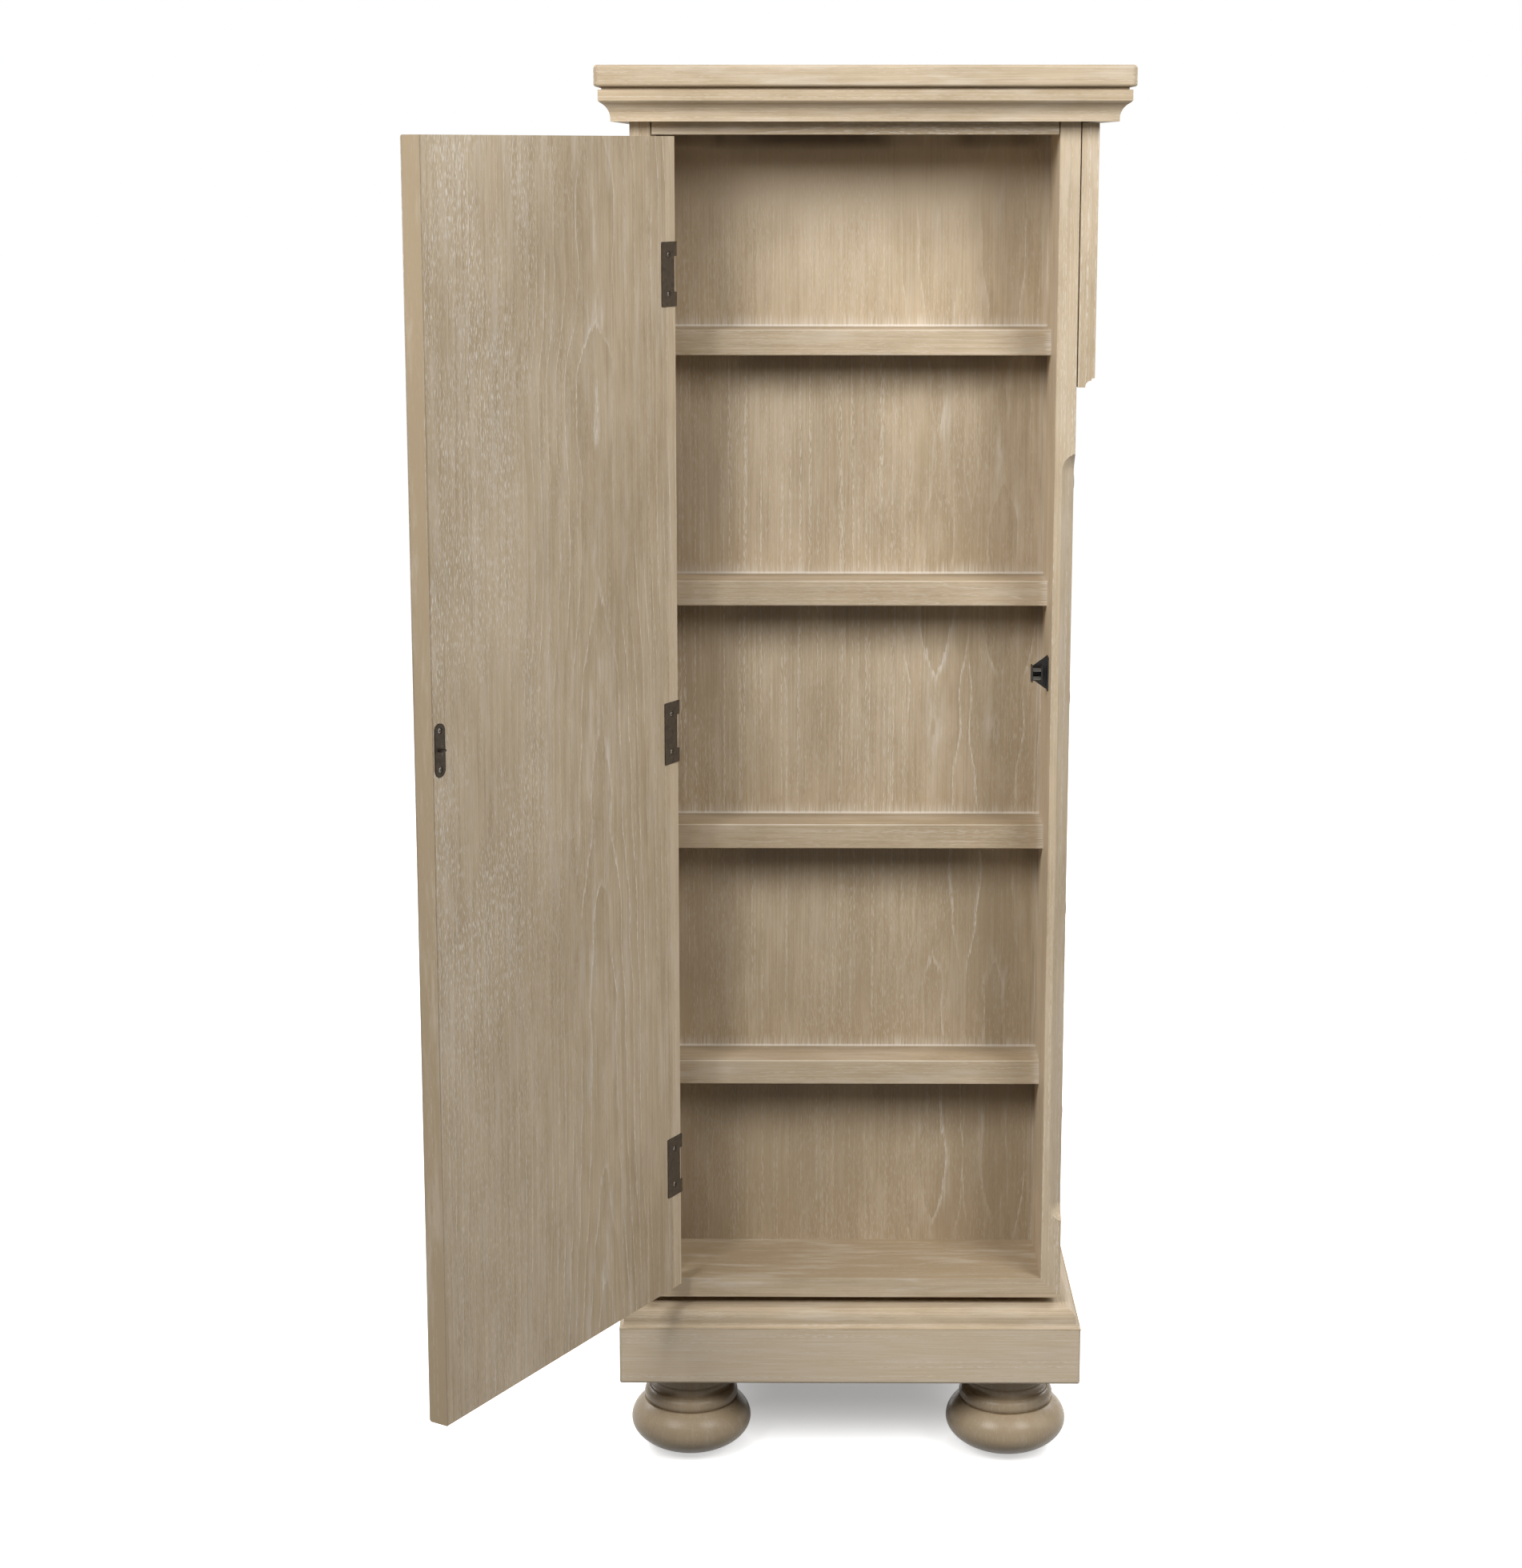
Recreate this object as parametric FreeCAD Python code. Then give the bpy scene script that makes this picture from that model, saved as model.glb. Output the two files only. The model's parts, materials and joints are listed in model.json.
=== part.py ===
import FreeCAD
import Part
import math
import os
from FreeCAD import Vector

# Swivel chest. A tall narrow chest turns on a plinth with four bun feet. Five drawers face +X. The side
# that faces -Y is a tall inset door, mirrored outside, with four narrow shelves behind it. Millimetres,
# +Z up, the origin on the floor on the axis of the swivel. The door is modelled shut and then swung to its
# open rest place.

# Body
body_width = 470.0
body_depth = 470.0
side_thickness = 22.0
floor_thickness = 22.0
opening_height = 1258.0
head_rail_height = 13.0
head_rail_thickness = 20.0
head_rail_end_gap = 1.0
post_width = 40.0
closet_wall_thickness = 10.0
closet_depth = 116.0
board_ease = 1.5
closet_back_thickness = 9.0
shelf_depth = 52.0
shelf_thickness = 28.0
shelf_count = 4
lowest_bay_height = 205.0
middle_bay_height = 245.0

# Stop chamfer on the outer corners of the two front posts
chamfer_width = 14.0
chamfer_cutter_radius = 6.0
chamfer_low_stop = 109.0
chamfer_high_stop = 89.0

# Crown and top board
crown_foot_reach = 18.5
crown_lip = 3.0
crown_cove_reach = 10.0
crown_cove_height = 16.0
crown_bevel = 2.0
crown_fillet_height = 11.0
crown_reveal_height = 3.0
crown_reveal_depth = 3.5
crown_width_inside = 40.0
top_overhang = 35.0
top_thickness = 22.0
top_corner_radius = 8.0
top_edge_radius = 3.0

# Plinth, its moulding and the bun feet
base_overhang = 22.0
plinth_height = 64.0
plinth_thickness = 20.0
plinth_edge_radius = 3.5
moulding_lip = 1.5
moulding_cove = 5.0
moulding_fillet = 3.5
moulding_bead = 11.0
moulding_width = 34.0
block_thickness = 30.0
block_margin = 40.0
foot_height = 105.0
foot_radius = 68.0
foot_inset = 9.0
foot_pad_radius = 24.0
foot_belly_height = 33.0
foot_shoulder_rise = 38.5
foot_shoulder_height = 57.0
foot_bead_height = 15.5
foot_bead_radius = 53.0
foot_bead_top_radius = 47.5
foot_groove_radius = 50.5
foot_neck_radius = 42.5
foot_collar_radius = 46.5
foot_collar_height = 21.0
bolt_radius = 4.0
bolt_depth_in_foot = 45.0
bolt_head_radius = 9.0
bolt_head_height = 5.0

# Swivel bearing
race_thickness = 4.2
race_gap = 0.6
race_outer_radius = 160.0
race_width = 42.0
track_inset = 21.0
ball_radius = 3.0
ball_clearance = 0.4
ball_count = 24
race_screw_count = 8
race_screw_offset = 9.0

# Door
door_thickness = 25.0
door_gap = 2.0
hinge_gap = 3.0
door_edge_radius = 6.0
door_open_angle = 121.0
mirror_margin = 44.0
mirror_thickness = 4.0
mirror_recess = 7.0
mirror_bead_width = 10.0
mirror_bead_proud = 2.0
glass_gap = 0.5

# Wrapped hinges
leaf_thickness = 1.3
leaf_height = 67.0
leaf_width = 26.0
leaf_corner_radius = 1.5
leaf_notch_height = 37.0
leaf_notch_depth = 3.0
knuckle_count = 5
knuckle_radius = 3.5
knuckle_gap = 0.4
knuckle_standoff = 0.4
pin_radius = 1.75
pin_clearance = 0.05
pin_cap_radius = 3.0
pin_cap_height = 2.0
hinge_inset = 141.0
leaf_screw_spacing = 41.0
leaf_screw_offset = 13.0

# Screws
screw_head_radius = 3.0
screw_radius = 1.5
screw_length = 11.0
screw_tip = 4.0
screw_clearance = 0.05

# Roller catch and its strike
catch_height = 682.0
catch_base_height = 37.0
catch_base_depth = 16.0
catch_sheet = 1.5
catch_nose_height = 12.0
catch_setback = 0.6
lug_height = 18.0
lug_depth = 11.0
roller_radius = 3.0
roller_length = 8.4
roller_gap = 3.2
roller_side_clearance = 0.3
axle_radius = 1.0
catch_screw_spacing = 29.0
catch_screw_offset = 5.5
strike_from_edge = 10.5
strike_width = 15.0
strike_height = 52.0
strike_screw_spacing = 38.0
spear_width = 6.0
spear_thickness = 2.4
spear_length = 5.0

# Drawers
lower_drawer_count = 4
rail_height = 18.0
rail_thickness = 11.0
frieze_height = 275.0
frieze_thickness = 18.0
frieze_gap = 1.0
frieze_cover = 8.0
frieze_foot_width = 8.0
frieze_foot_lip = 0.8
frieze_cove = 6.5
frieze_step = 2.2
frieze_edge_radius = 1.4
front_thickness = 20.0
front_gap = 2.0
front_edge_radius = 3.0
lip_clearance = 1.0
box_wall = 12.0
box_floor = 6.0
box_floor_lift = 8.0
box_side_gap = 3.0
box_back_gap = 8.0
box_lift = 14.0
box_headroom = 24.0
runner_width = 18.0
runner_clearance = 0.5
guide_height = 16.0
knob_radius = 14.0
knob_projection = 22.0
knob_neck_radius = 5.0
knob_rose_radius = 9.0
knob_rose_thickness = 3.0
knob_head_thickness = 9.0
knob_neck_flare = 1.0

# How far a cutting shape runs past the face it cuts
cut_margin = 1.0

# Places that follow from the sizes above
body_x = body_width / 2
body_y = body_depth / 2
inner_x = body_x - side_thickness
inner_y = body_y - side_thickness
base_x = body_x + base_overhang
base_y = body_y + base_overhang
moulding_height = moulding_lip + moulding_cove + moulding_fillet + moulding_bead
crown_height = crown_lip + crown_cove_height + crown_bevel + crown_fillet_height + crown_reveal_height
swivel_gap = 2 * race_thickness + race_gap
race_inner_radius = race_outer_radius - race_width
ball_circle_radius = race_outer_radius - track_inset
z_plinth = foot_height
z_moulding = z_plinth + plinth_height
z_base_top = z_moulding + moulding_height
z_carcass = z_base_top + swivel_gap
z_floor = z_carcass + floor_thickness
z_head = z_floor + opening_height
z_crown = z_head + head_rail_height
z_top = z_crown + crown_height
closet_y = -body_y + closet_depth
drawer_y0 = closet_y + closet_back_thickness
post_y = body_y - post_width
frieze_x = body_x + frieze_gap
crown_x1 = frieze_x + frieze_thickness
z_frieze = z_crown - frieze_gap - frieze_height
z_frieze_opening = z_frieze + frieze_cover
hinge_x = -inner_x + hinge_gap / 2
hinge_y = -body_y - knuckle_radius - knuckle_standoff
door_x0 = -inner_x + hinge_gap
door_x1 = inner_x - door_gap
door_back = -body_y + door_thickness
door_z0 = z_floor + door_gap
door_z1 = z_head - door_gap
hinge_heights = [door_z0 + hinge_inset, (door_z0 + door_z1) / 2, door_z1 - hinge_inset]
z_catch = z_floor + catch_height
strike_x = door_x1 - strike_from_edge
UP = Vector(0, 0, 1)
ORIGIN = Vector(0, 0, 0)


def block(x0, x1, y0, y1, z0, z1):
    """A rectangular board between two corners."""
    return Part.makeBox(x1 - x0, y1 - y0, z1 - z0, Vector(x0, y0, z0))


def prism(points, along):
    """A flat polygon pushed along a vector."""
    return Part.Face(Part.makePolygon(points + points[:1])).extrude(along)


def arc_to(centre_u, centre_v, radius, start, end):
    """The middle and end of an arc about a centre, from one angle to another in degrees."""
    middle = math.radians((start + end) / 2)
    last = math.radians(end)
    return (centre_u + radius * math.cos(middle), centre_v + radius * math.sin(middle),
            centre_u + radius * math.cos(last), centre_v + radius * math.sin(last))


def section(steps, at):
    """A closed face. A step of two numbers is a straight run; one of four is an arc by middle and end."""
    here = steps[0]
    edges = []
    for step in steps[1:] + [steps[0]]:
        end = step[-2:]
        if math.dist(here, end) < 1e-6:
            continue
        if len(step) == 2:
            edges.append(Part.makeLine(at(*here), at(*end)))
        else:
            edges.append(Part.Arc(at(*here), at(*step[:2]), at(*end)).toShape())
        here = end
    return Part.Face(Part.Wire(edges))


def mitred_length(steps, length):
    """One straight run of a moulding along X, outward to -Y, with both ends cut at 45 degrees."""
    reaches = [step[-2] for step in steps]
    out = max(reaches) + cut_margin
    into = cut_margin - min(reaches)
    half = length / 2
    bar = section(steps, lambda u, v: Vector(-half - out, -u, v)).extrude(Vector(length + 2 * out, 0, 0))
    low = bar.BoundBox.ZMin - cut_margin
    plan = [(-half - out, -out), (half + out, -out), (half - into, into), (-half + into, into)]
    keep = prism([Vector(x, y, low) for x, y in plan], Vector(0, 0, bar.BoundBox.ZLength + 2 * cut_margin))
    return bar.common(keep)


def mitred_frame(steps, x0, x1, y0, y1):
    """Four mitred runs of one moulding round a rectangle: front, right, back and left."""
    mid_x = (x0 + x1) / 2
    mid_y = (y0 + y1) / 2
    sides = [(x1 - x0, mid_x, y0), (y1 - y0, x1, mid_y), (x1 - x0, mid_x, y1), (y1 - y0, x0, mid_y)]
    runs = []
    for turn, (length, x, y) in enumerate(sides):
        run = mitred_length(steps, length)
        run.rotate(ORIGIN, UP, 90 * turn)
        run.translate(Vector(x, y, 0))
        runs.append(run)
    return runs


def rounded(shape, radius, picked):
    """A shape with a fillet on the edges that a test picks by their middle and their box."""
    edges = [edge for edge in shape.Edges if picked(edge.CenterOfMass, edge.BoundBox)]
    return shape.makeFillet(radius, edges)


def upright(box):
    """Whether an edge's box is a vertical line."""
    return box.XLength < 1e-6 and box.YLength < 1e-6


def revolved(steps, base=ORIGIN, axis=UP):
    """A turned solid from a half section of radius and height, set on a base point along an axis."""
    solid = section(steps, lambda r, h: Vector(r, 0, h)).revolve(ORIGIN, UP, 360)
    solid.Placement = FreeCAD.Placement(base, FreeCAD.Rotation(UP, axis))
    return solid


def screw(base, into, head_height):
    """A wood screw: a flat head from its seat outwards, and a pointed shank into the wood."""
    steps = [(0, -head_height), (screw_head_radius, -head_height), (screw_head_radius, 0), (screw_radius, 0),
             (screw_radius, screw_length), (0, screw_length + screw_tip)]
    return revolved(steps, base, into)


def screw_hole(base, into):
    """The pilot hole that a screw's shank fills."""
    radius = screw_radius + screw_clearance
    depth = screw_length + screw_tip + screw_clearance
    return Part.makeCylinder(radius, depth, base, into)


def head_hole(base, outward, thickness):
    """A countersunk seat through a metal leaf."""
    return Part.makeCylinder(screw_head_radius + screw_clearance, thickness, base, outward)


def bun_foot(x, y):
    """A turned bun foot: squat belly, a bead on a groove, and a coved neck under a collar."""
    belly_drop = foot_belly_height / math.sqrt(1 - (foot_pad_radius / foot_radius) ** 2)
    centre = Vector(0, 0, foot_belly_height)
    side = Vector(foot_radius, 0, foot_belly_height)
    lower = Part.Ellipse(side, Vector(0, 0, foot_belly_height - belly_drop), centre)
    upper = Part.Ellipse(side, Vector(0, 0, foot_belly_height + foot_shoulder_rise), centre)
    low_end = math.asin(foot_belly_height / belly_drop)
    high_end = math.asin((foot_shoulder_height - foot_belly_height) / foot_shoulder_rise)
    shoulder_radius = foot_radius * math.cos(high_end)
    bead_top = foot_shoulder_height + foot_bead_height
    pad = Vector(foot_pad_radius, 0, 0)
    shoulder = Vector(shoulder_radius, 0, foot_shoulder_height)
    groove = Vector(foot_groove_radius, 0, foot_shoulder_height)
    bead_middle = Vector(foot_bead_radius, 0, foot_shoulder_height + foot_bead_height / 2)
    bead_end = Vector(foot_bead_top_radius, 0, bead_top)
    neck_low = Vector(foot_collar_radius, 0, bead_top)
    neck_middle = Vector(foot_neck_radius, 0, (bead_top + foot_height - foot_collar_height) / 2)
    neck_high = Vector(foot_collar_radius, 0, foot_height - foot_collar_height)
    collar = Vector(foot_collar_radius, 0, foot_height)
    top = Vector(0, 0, foot_height)
    edges = [Part.makeLine(ORIGIN, pad),
             Part.Arc(lower, 0, low_end).toShape(),
             Part.Arc(upper, 0, high_end).toShape(),
             Part.makeLine(shoulder, groove),
             Part.Arc(groove, bead_middle, bead_end).toShape(),
             Part.makeLine(bead_end, neck_low),
             Part.Arc(neck_low, neck_middle, neck_high).toShape(),
             Part.makeLine(neck_high, collar),
             Part.makeLine(collar, top),
             Part.makeLine(top, ORIGIN)]
    foot = Part.Face(Part.Wire(Part.__sortEdges__(edges))).revolve(ORIGIN, UP, 360)
    hole_low = Vector(0, 0, foot_height - bolt_depth_in_foot)
    foot = foot.cut(Part.makeCylinder(bolt_radius + screw_clearance, bolt_depth_in_foot, hole_low))
    foot.translate(Vector(x, y, 0))
    return foot


def foot_places():
    """The four foot centres by name."""
    offset = foot_inset + foot_radius
    x = base_x - offset
    y = base_y - offset
    return {"front_left": (-x, -y), "front_right": (x, -y), "back_left": (-x, y), "back_right": (x, y)}


def corner_block(x, y):
    """A triangular block glued into a plinth corner, bored for the foot's bolt."""
    corner_x = math.copysign(base_x - plinth_thickness, x)
    corner_y = math.copysign(base_y - plinth_thickness, y)
    leg = abs(corner_x - x) + abs(corner_y - y) + block_margin
    plan = [Vector(corner_x, corner_y, z_plinth),
            Vector(corner_x - math.copysign(leg, x), corner_y, z_plinth),
            Vector(corner_x, corner_y - math.copysign(leg, y), z_plinth)]
    hole = Part.makeCylinder(bolt_radius + screw_clearance, block_thickness, Vector(x, y, z_plinth))
    return prism(plan, Vector(0, 0, block_thickness)).cut(hole)


def foot_bolt(x, y):
    """A bolt from the top of a corner block down into the foot."""
    seat = z_plinth + block_thickness
    shank = Part.makeCylinder(bolt_radius, block_thickness + bolt_depth_in_foot,
                              Vector(x, y, z_plinth - bolt_depth_in_foot))
    head = Part.makeCylinder(bolt_head_radius, bolt_head_height, Vector(x, y, seat))
    return shank.fuse(head).removeSplitter()


def plinth_boards():
    """Four mitred boards with eased lower edges and rounded outer corners."""
    ease = plinth_edge_radius
    steps = [(-plinth_thickness, z_plinth), (-ease, z_plinth), arc_to(-ease, z_plinth + ease, ease, 270, 360),
             (0, z_moulding), (-plinth_thickness, z_moulding)]
    outline = rounded(block(-base_x, base_x, -base_y, base_y, z_plinth, z_moulding), ease,
                      lambda middle, box: upright(box))
    return [run.common(outline) for run in mitred_frame(steps, -base_x, base_x, -base_y, base_y)]


def plinth_moulding():
    """The mitred top moulding of the plinth: an arris, a cove and a quarter-round bead."""
    cove_v = z_moulding + moulding_lip + moulding_cove
    bead_u = -moulding_cove - moulding_bead
    steps = [(-moulding_width, z_moulding), (0, z_moulding), (0, z_moulding + moulding_lip),
             arc_to(0, cove_v, moulding_cove, 270, 180), (-moulding_cove, z_base_top - moulding_bead),
             arc_to(bead_u, z_base_top - moulding_bead, moulding_bead, 0, 90), (-moulding_width, z_base_top)]
    return mitred_frame(steps, -base_x, base_x, -base_y, base_y)


def race_screw_places():
    """Points round the bearing where its rings are screwed on, inside the ball track."""
    radius = race_inner_radius + race_screw_offset
    turns = [2 * math.pi * index / race_screw_count for index in range(race_screw_count)]
    return [(radius * math.cos(turn), radius * math.sin(turn)) for turn in turns]


def ball_track():
    """The round groove that both rings are cut with."""
    middle = z_base_top + swivel_gap / 2
    return Part.makeTorus(ball_circle_radius, ball_radius + ball_clearance, Vector(0, 0, middle))


def race(z0, seat, outward):
    """One flat bearing ring with its ball track and screw seats."""
    ring = Part.makeCylinder(race_outer_radius, race_thickness, Vector(0, 0, z0))
    ring = ring.cut(Part.makeCylinder(race_inner_radius, race_thickness, Vector(0, 0, z0))).cut(ball_track())
    holes = [head_hole(Vector(x, y, seat), outward, race_thickness) for x, y in race_screw_places()]
    return ring.cut(Part.makeCompound(holes))


def swivel_balls():
    """The balls between the two rings."""
    middle = z_base_top + swivel_gap / 2
    balls = []
    for index in range(ball_count):
        turn = 2 * math.pi * index / ball_count
        centre = Vector(ball_circle_radius * math.cos(turn), ball_circle_radius * math.sin(turn), middle)
        balls.append(Part.makeSphere(ball_radius, centre))
    return balls


def base_pieces():
    """Everything that stays on the floor while the chest turns."""
    feet = foot_places()
    pieces = {"bun_foot_" + name: bun_foot(*place) for name, place in feet.items()}
    pieces["foot_bolts"] = Part.makeCompound([foot_bolt(*place) for place in feet.values()])
    pieces["corner_blocks"] = Part.makeCompound([corner_block(*place) for place in feet.values()])
    for name, board in zip(("front", "right", "back", "left"), plinth_boards()):
        pieces["plinth_" + name] = board
    pieces["plinth_moulding"] = Part.makeCompound(plinth_moulding())
    panel = block(moulding_width - base_x, base_x - moulding_width, moulding_width - base_y,
                  base_y - moulding_width, z_moulding, z_base_top)
    seats = [Vector(x, y, z_base_top) for x, y in race_screw_places()]
    pieces["base_top"] = panel.cut(Part.makeCompound([screw_hole(seat, -UP) for seat in seats]))
    pieces["swivel_lower_race"] = race(z_base_top, z_base_top, UP)
    pieces["swivel_lower_screws"] = Part.makeCompound([screw(seat, -UP, race_thickness) for seat in seats])
    return pieces


def mitre_waste(side):
    """What is cut off the lower end of a side so that it meets the floor board in a mitre."""
    outer = math.copysign(body_x, side)
    inner = math.copysign(body_x - floor_thickness, side)
    outline = [(outer, z_carcass), (inner, z_carcass), (inner, z_floor)]
    return prism([Vector(x, -body_y, z) for x, z in outline], Vector(0, body_depth, 0))


def stop_chamfer(side):
    """The cutter's path along a post's outer corner: a 45 degree wedge with a cone at each stop."""
    corner = math.copysign(body_y, side)
    inward = -math.copysign(1, side)
    low = z_carcass + chamfer_low_stop
    high = z_frieze - chamfer_high_stop
    width = chamfer_width
    axis_x = body_x + chamfer_cutter_radius
    outside = corner - inward * cut_margin
    plan = [Vector(body_x - width - cut_margin, outside, low), Vector(axis_x, outside, low),
            Vector(axis_x, corner + inward * width, low), Vector(body_x, corner + inward * width, low)]
    path = prism(plan, Vector(0, 0, high - low))
    depth = width + cut_margin
    narrow = chamfer_cutter_radius
    for height in (low, high):
        base = Vector(axis_x, outside, height)
        path = path.fuse(Part.makeCone(narrow + depth, narrow, depth, base, Vector(0, inward, 0)))
    return path


def eased_front(board):
    """A board with its upright edges eased on the side that faces -Y."""
    front = board.BoundBox.YMin
    return rounded(board, board_ease, lambda middle, box: upright(box) and middle.y < front + 1e-6)


def near_side():
    """The wall beside the shelves: a front post with a stop chamfer, thinned behind the drawer fronts."""
    post = eased_front(block(inner_x, body_x, -body_y, -post_y, z_carcass, z_crown))
    wall = block(inner_x, inner_x + closet_wall_thickness, -post_y, drawer_y0, z_carcass, z_crown)
    side = post.fuse(wall).removeSplitter().cut(mitre_waste(1)).cut(stop_chamfer(-1))
    holes = [screw_hole(place, Vector(1, 0, 0)) for place in catch_screw_places()]
    return side.cut(Part.makeCompound(holes))


def far_post():
    """The front post at the far end, with its stop chamfer."""
    post = block(inner_x, body_x, post_y, body_y, z_carcass, z_crown)
    post = rounded(post, board_ease,
                   lambda middle, box: upright(box) and middle.x > inner_x and middle.y > post_y)
    return post.cut(mitre_waste(1)).cut(stop_chamfer(1))


def hinge_side():
    """The wall that carries the door, which is also the back of the chest."""
    wall = eased_front(block(-body_x, -inner_x, -body_y, body_y, z_carcass, z_crown)).cut(mitre_waste(-1))
    holes = [screw_hole(place, Vector(-1, 0, 0)) for place in frame_screw_places(hinge_heights)]
    return wall.cut(Part.makeCompound(holes))


def floor_board(sides):
    """The bottom of the chest, mitred where it meets the sides, with the upper ring's screw holes."""
    board = block(-body_x, body_x, -body_y, body_y, z_carcass, z_floor)
    for side in sides:
        board = board.cut(side)
    holes = [screw_hole(Vector(x, y, z_carcass), UP) for x, y in race_screw_places()]
    return board.cut(Part.makeCompound(holes))


def shelf_tops():
    """Heights of the shelves' upper faces, from the lowest."""
    first = z_floor + lowest_bay_height + shelf_thickness
    return [first + index * (middle_bay_height + shelf_thickness) for index in range(shelf_count)]


def shelf(top):
    """One shelf against the back of the shelf space, with its front edges eased."""
    front = closet_y - shelf_depth
    board = block(-inner_x, inner_x, front, closet_y, top - shelf_thickness, top)
    return rounded(board, board_ease, lambda middle, box: middle.y < front + 1e-6 and box.ZLength < 1e-6)


def crown():
    """The mitred crown: a soffit, a cove, a bevelled fillet and a shadow reveal under the top board."""
    fillet_reach = crown_foot_reach + crown_cove_reach + crown_bevel
    cove_v = z_crown + crown_lip
    radius = (crown_cove_reach ** 2 + crown_cove_height ** 2) / (2 * crown_cove_reach)
    end = math.degrees(math.atan2(crown_cove_height, crown_cove_reach - radius))
    reveal_v = z_top - crown_reveal_height
    steps = [(-crown_width_inside, z_crown), (crown_foot_reach, z_crown), (crown_foot_reach, cove_v),
             arc_to(crown_foot_reach + radius, cove_v, radius, 180, end),
             (fillet_reach, cove_v + crown_cove_height + crown_bevel), (fillet_reach, reveal_v),
             (fillet_reach - crown_reveal_depth, reveal_v), (fillet_reach - crown_reveal_depth, z_top),
             (-crown_width_inside, z_top)]
    return mitred_frame(steps, -body_x, crown_x1, -body_y, body_y)


def top_board():
    """The top, with round corners and eased edges."""
    reach = top_overhang
    board = block(-body_x - reach, crown_x1 + reach, -body_y - reach, body_y + reach,
                  z_top, z_top + top_thickness)
    board = rounded(board, top_corner_radius, lambda middle, box: upright(box))
    return rounded(board, top_edge_radius, lambda middle, box: box.ZLength < 1e-6)


def knuckle_spans(first):
    """Height spans of every second knuckle of one hinge, about its middle."""
    length = (leaf_height - (knuckle_count - 1) * knuckle_gap) / knuckle_count
    lows = [-leaf_height / 2 + index * (length + knuckle_gap) for index in range(first, knuckle_count, 2)]
    return [(low, low + length) for low in lows]


def knuckles(height, first, x0, x1):
    """The rolled barrels of one leaf, each with the tab that ties it to the plate between x0 and x1."""
    plate_front = hinge_y + knuckle_radius + knuckle_gap
    pieces = []
    for low, high in knuckle_spans(first):
        barrel = Part.makeCylinder(knuckle_radius, high - low, Vector(hinge_x, hinge_y, height + low))
        pieces.append(barrel.fuse(block(x0, x1, hinge_y, plate_front, height + low, height + high)))
    return pieces


def pin_bore(height):
    """The bore for the hinge pin through one barrel."""
    low = Vector(hinge_x, hinge_y, height - leaf_height / 2)
    return Part.makeCylinder(pin_radius + pin_clearance, leaf_height, low)


def leaf_screw_heights(height):
    """The two screw heights of one leaf."""
    return [height - leaf_screw_spacing / 2, height + leaf_screw_spacing / 2]


def frame_screw_places(heights):
    """Where the frame leaves are screwed to the wall's inner face."""
    y = -body_y + leaf_screw_offset
    return [Vector(-inner_x, y, z) for height in heights for z in leaf_screw_heights(height)]


def frame_leaf(height):
    """The hinge leaf on the wall, a flat plate with its own knuckles."""
    low = height - leaf_height / 2
    high = height + leaf_height / 2
    plate_front = hinge_y + knuckle_radius + knuckle_gap
    leaf = block(-inner_x, -inner_x + leaf_thickness, plate_front, -body_y + leaf_width, low, high)
    leaf = leaf.multiFuse(knuckles(height, 1, -inner_x, -inner_x + leaf_thickness)).removeSplitter()
    seats = frame_screw_places([height])
    holes = [head_hole(seat, Vector(1, 0, 0), leaf_thickness) for seat in seats]
    return leaf.cut(pin_bore(height)).cut(Part.makeCompound(holes))


def door_leaf(height):
    """The hinge leaf on the door: it wraps from the edge to the inner face, notched at the bend."""
    low = height - leaf_height / 2
    high = height + leaf_height / 2
    plate_front = hinge_y + knuckle_radius + knuckle_gap
    outer_x = door_x0 - leaf_thickness
    edge_plate = block(outer_x, door_x0, plate_front, door_back + leaf_thickness, low, high)
    face_plate = block(outer_x, door_x0 + leaf_width, door_back, door_back + leaf_thickness, low, high)
    face_plate = rounded(face_plate, leaf_corner_radius,
                         lambda middle, box: middle.x > door_x0 + leaf_width - 1e-6 and box.ZLength < 1e-6)
    notch = block(outer_x, door_x0 + leaf_notch_depth, door_back - leaf_notch_depth,
                  door_back + leaf_thickness, height - leaf_notch_height / 2, height + leaf_notch_height / 2)
    leaf = edge_plate.fuse(face_plate).cut(notch)
    leaf = leaf.multiFuse(knuckles(height, 0, outer_x, door_x0)).removeSplitter().cut(pin_bore(height))
    holes = [head_hole(place, Vector(0, 1, 0), leaf_thickness) for place in door_screw_places([height])]
    return leaf.cut(Part.makeCompound(holes))


def hinge_pin(height):
    """A hinge pin with a cap at each end."""
    low = Vector(hinge_x, hinge_y, height - leaf_height / 2)
    pin = Part.makeCylinder(pin_radius, leaf_height, low)
    foot = Part.makeCylinder(pin_cap_radius, pin_cap_height, low - UP * pin_cap_height)
    head = Part.makeCylinder(pin_cap_radius, pin_cap_height, low + UP * leaf_height)
    return pin.fuse(foot).fuse(head).removeSplitter()


def door_screw_places(heights):
    """Where the door leaves are screwed to the door's inner face."""
    x = door_x0 + leaf_screw_offset
    return [Vector(x, door_back, z) for height in heights for z in leaf_screw_heights(height)]


def strike_screw_places():
    """Where the strike is screwed to the door's inner face."""
    half = strike_screw_spacing / 2
    return [Vector(strike_x, door_back, z_catch - half), Vector(strike_x, door_back, z_catch + half)]


def mirror_recess_box(front, back, margin):
    """A block in the door's outer face, set in from the door's edges by a margin."""
    return block(door_x0 + margin, door_x1 - margin, front, back, door_z0 + margin, door_z1 - margin)


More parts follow.
